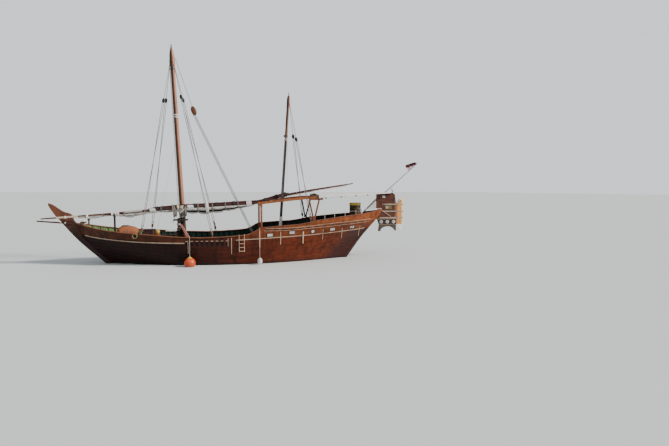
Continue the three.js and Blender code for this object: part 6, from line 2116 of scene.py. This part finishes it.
# %% Small things about the deck
keg_foot, table_foot = [seat(deck_run, x, 0.3, TRIM_GAP) for x in (-5.2, -4.4)]
ball = turned([(0.16 * sin(a), -0.16 * cos(a)) for a in np.linspace(0.06, pi - 0.06, 18)],
    (-5.22, -0.9, 2.36), 24)
keg = turned([(0.16, 0), (0.19, 0.02), (0.20, 0.45), (0.19, 0.88), (0.17, 0.90), (0.10, 0.91),
    (0.02, 0.91)], (-5.22, -0.9, keg_foot), 24, finish=1)
piece("keg_with_float", [ball, keg], [yellow_paint, orange_wood], slot="drum_paint")
slab = post(-4.27, -0.80, 0.37, 0.35, table_foot + 1.12, table_foot + 1.20, 0.02)
legs = [post(x, y, 0.03, 0.03, table_foot, table_foot + 1.1195, 0.008, 1) for x in (-4.53, -3.95)
    for y in (-1.07, -0.53)]
piece("deck_table", [slab] + legs, [white_paint, dark_wood], slot="lantern_paint")
crate_z = highest(foredeck_run, -8.2, -7.9) + TRIM_GAP
parts = [post(-8.04, -1.24, 0.12, 0.12, crate_z, crate_z + 0.42, 0.02),
    post(-8.04, -1.24, 0.14, 0.14, crate_z + 0.421, crate_z + 0.46, 0.012, 1)]
piece("foredeck_crate", parts, [cream_wood, rail_wood], slot="orange_wood")

# %% [markdown]
# ## Flag, toggles and nails
# A small flag is bunched at the head of its staff. It is one sheet, a grid of points whose hoist
# lies along the staff and whose fly lifts forward in folds that are deeper towards the free edge.
# Toggles hold the awning's edge, and nail heads mark the frames, placed by the repeat tree.

# %% Flag
FLAG_HOIST, FLAG_FLY, FLAG_ROWS, FLAG_COLUMNS = 0.95, 0.56, 22, 40
MAROON_WIDE = 0.27
staff_run = (STAFF_TIP - staff_foot).normalized()
flag_top = STAFF_TIP - 0.05 * staff_run
fly_run = Vector((-staff_run.z, 0, staff_run.x)).normalized()
rings, flag_finish = [], []
for j in range(FLAG_COLUMNS + 1):
    down = j / FLAG_COLUMNS
    reach = 0.16 + 0.40 * down ** 0.8
    ring = []
    for i in range(FLAG_ROWS + 1):
        h = i / FLAG_ROWS
        wave = sin(2 * pi * (3.1 * down + 0.3 * h)) + 0.4 * sin(2 * pi * (6.7 * down - 0.5 * h))
        aside = -0.045 * h ** 0.8 * wave - 0.05 * sin(2.4 * pi * h)
        drop = FLAG_HOIST * down - 0.05 * h * (down - 0.5)
        ring.append(flag_top - drop * staff_run + (0.024 + reach * h) * fly_run + Vector((0, aside, 0)))
        if i < FLAG_ROWS and j < FLAG_COLUMNS:
            flag_finish.append(0 if (1 - h) * reach < MAROON_WIDE else 1)
    rings.append(ring)
flag_cloth = loft(rings, closed=False)
flag_cloth["finish"] = flag_finish
pink_cloth = woven("faded_cloth", (0.60, 0.40, 0.40), 0.3)
flag = piece("limp_flag", flag_cloth, [maroon_cloth, pink_cloth], slot="canvas", crease=60)
thicken(flag, 0.003, 0.0)

# %% Toggles on the awning's edge
toggle = loft([[(u * 0.03, v * 0.022, w) for u, v in ((-1, -1), (1, -1), (1, 1), (-1, 1))]
    for w in (-0.055, 0.0)])
toggle_places = []
for x in (7.1, 8.3, 9.5, 10.5, 11.5):
    half, edge = [reading(AWNING, k, x) for k in (1, 3)]
    toggle_places += [((x, hand * (half + 0.005), edge + 0.02), (1, 0, 0), (0, 0, 1), (1.6, 1.6, 1.6))
        for hand in (-1, 1)]
repeat("awning_toggles", toggle, toggle_places, dark_wood, slot="rope")

# %% Nail heads
nail = turned([(0.013, -0.002), (0.013, 0.002), (0.007, 0.006)], (0, 0, 0), 6)
nail_places = []
rows_up = [between(deck_rule, wall_top, (k + 0.5) / 4) for k in range(4)]
rows_down = [hull_rule((hull_share(k) + hull_share(k + 1)) / 2) for k in range(8, HULL_STRAKES)]
for side, hand in HANDS:
    for number, place in enumerate(np.arange(-9.8, 10.2, 0.45)):
        for k, row in enumerate(rows_down + (rows_up if place < 2.2 else [])):
            z = row(float(place)) + (0.03 if (number + k) % 2 else -0.03)
            if z > 0.1:
                point, along, _, normal = side_frame(station_x(float(place), z), z, hand)
                nail_places.append((point, along, normal, (1, 1, 1)))
repeat("plank_nails", nail, nail_places, iron, slot="dark_wood")
print("nails", len(nail_places))

# %% [markdown]
# ## Floor
# The floor is plain and pale and lies at the waterline, the level that the boat rests at.


# %% Floor
floor = new_object("studio_floor", bpy.data.meshes.new("studio_floor"))
floor.data.from_pydata([(-400, -400, 0), (400, -400, 0), (400, 900, 0), (-400, 900, 0)], [],
    [(0, 1, 2, 3)])
floor_paint = bpy.data.materials.new("pale_floor")
floor_paint.use_nodes = True
floor_shader = floor_paint.node_tree.nodes["Principled BSDF"].inputs
floor_shader["Base Color"].default_value = (0.62, 0.66, 0.68, 1)
floor_shader["Roughness"].default_value = 0.9
floor.data.materials.append(floor_paint)
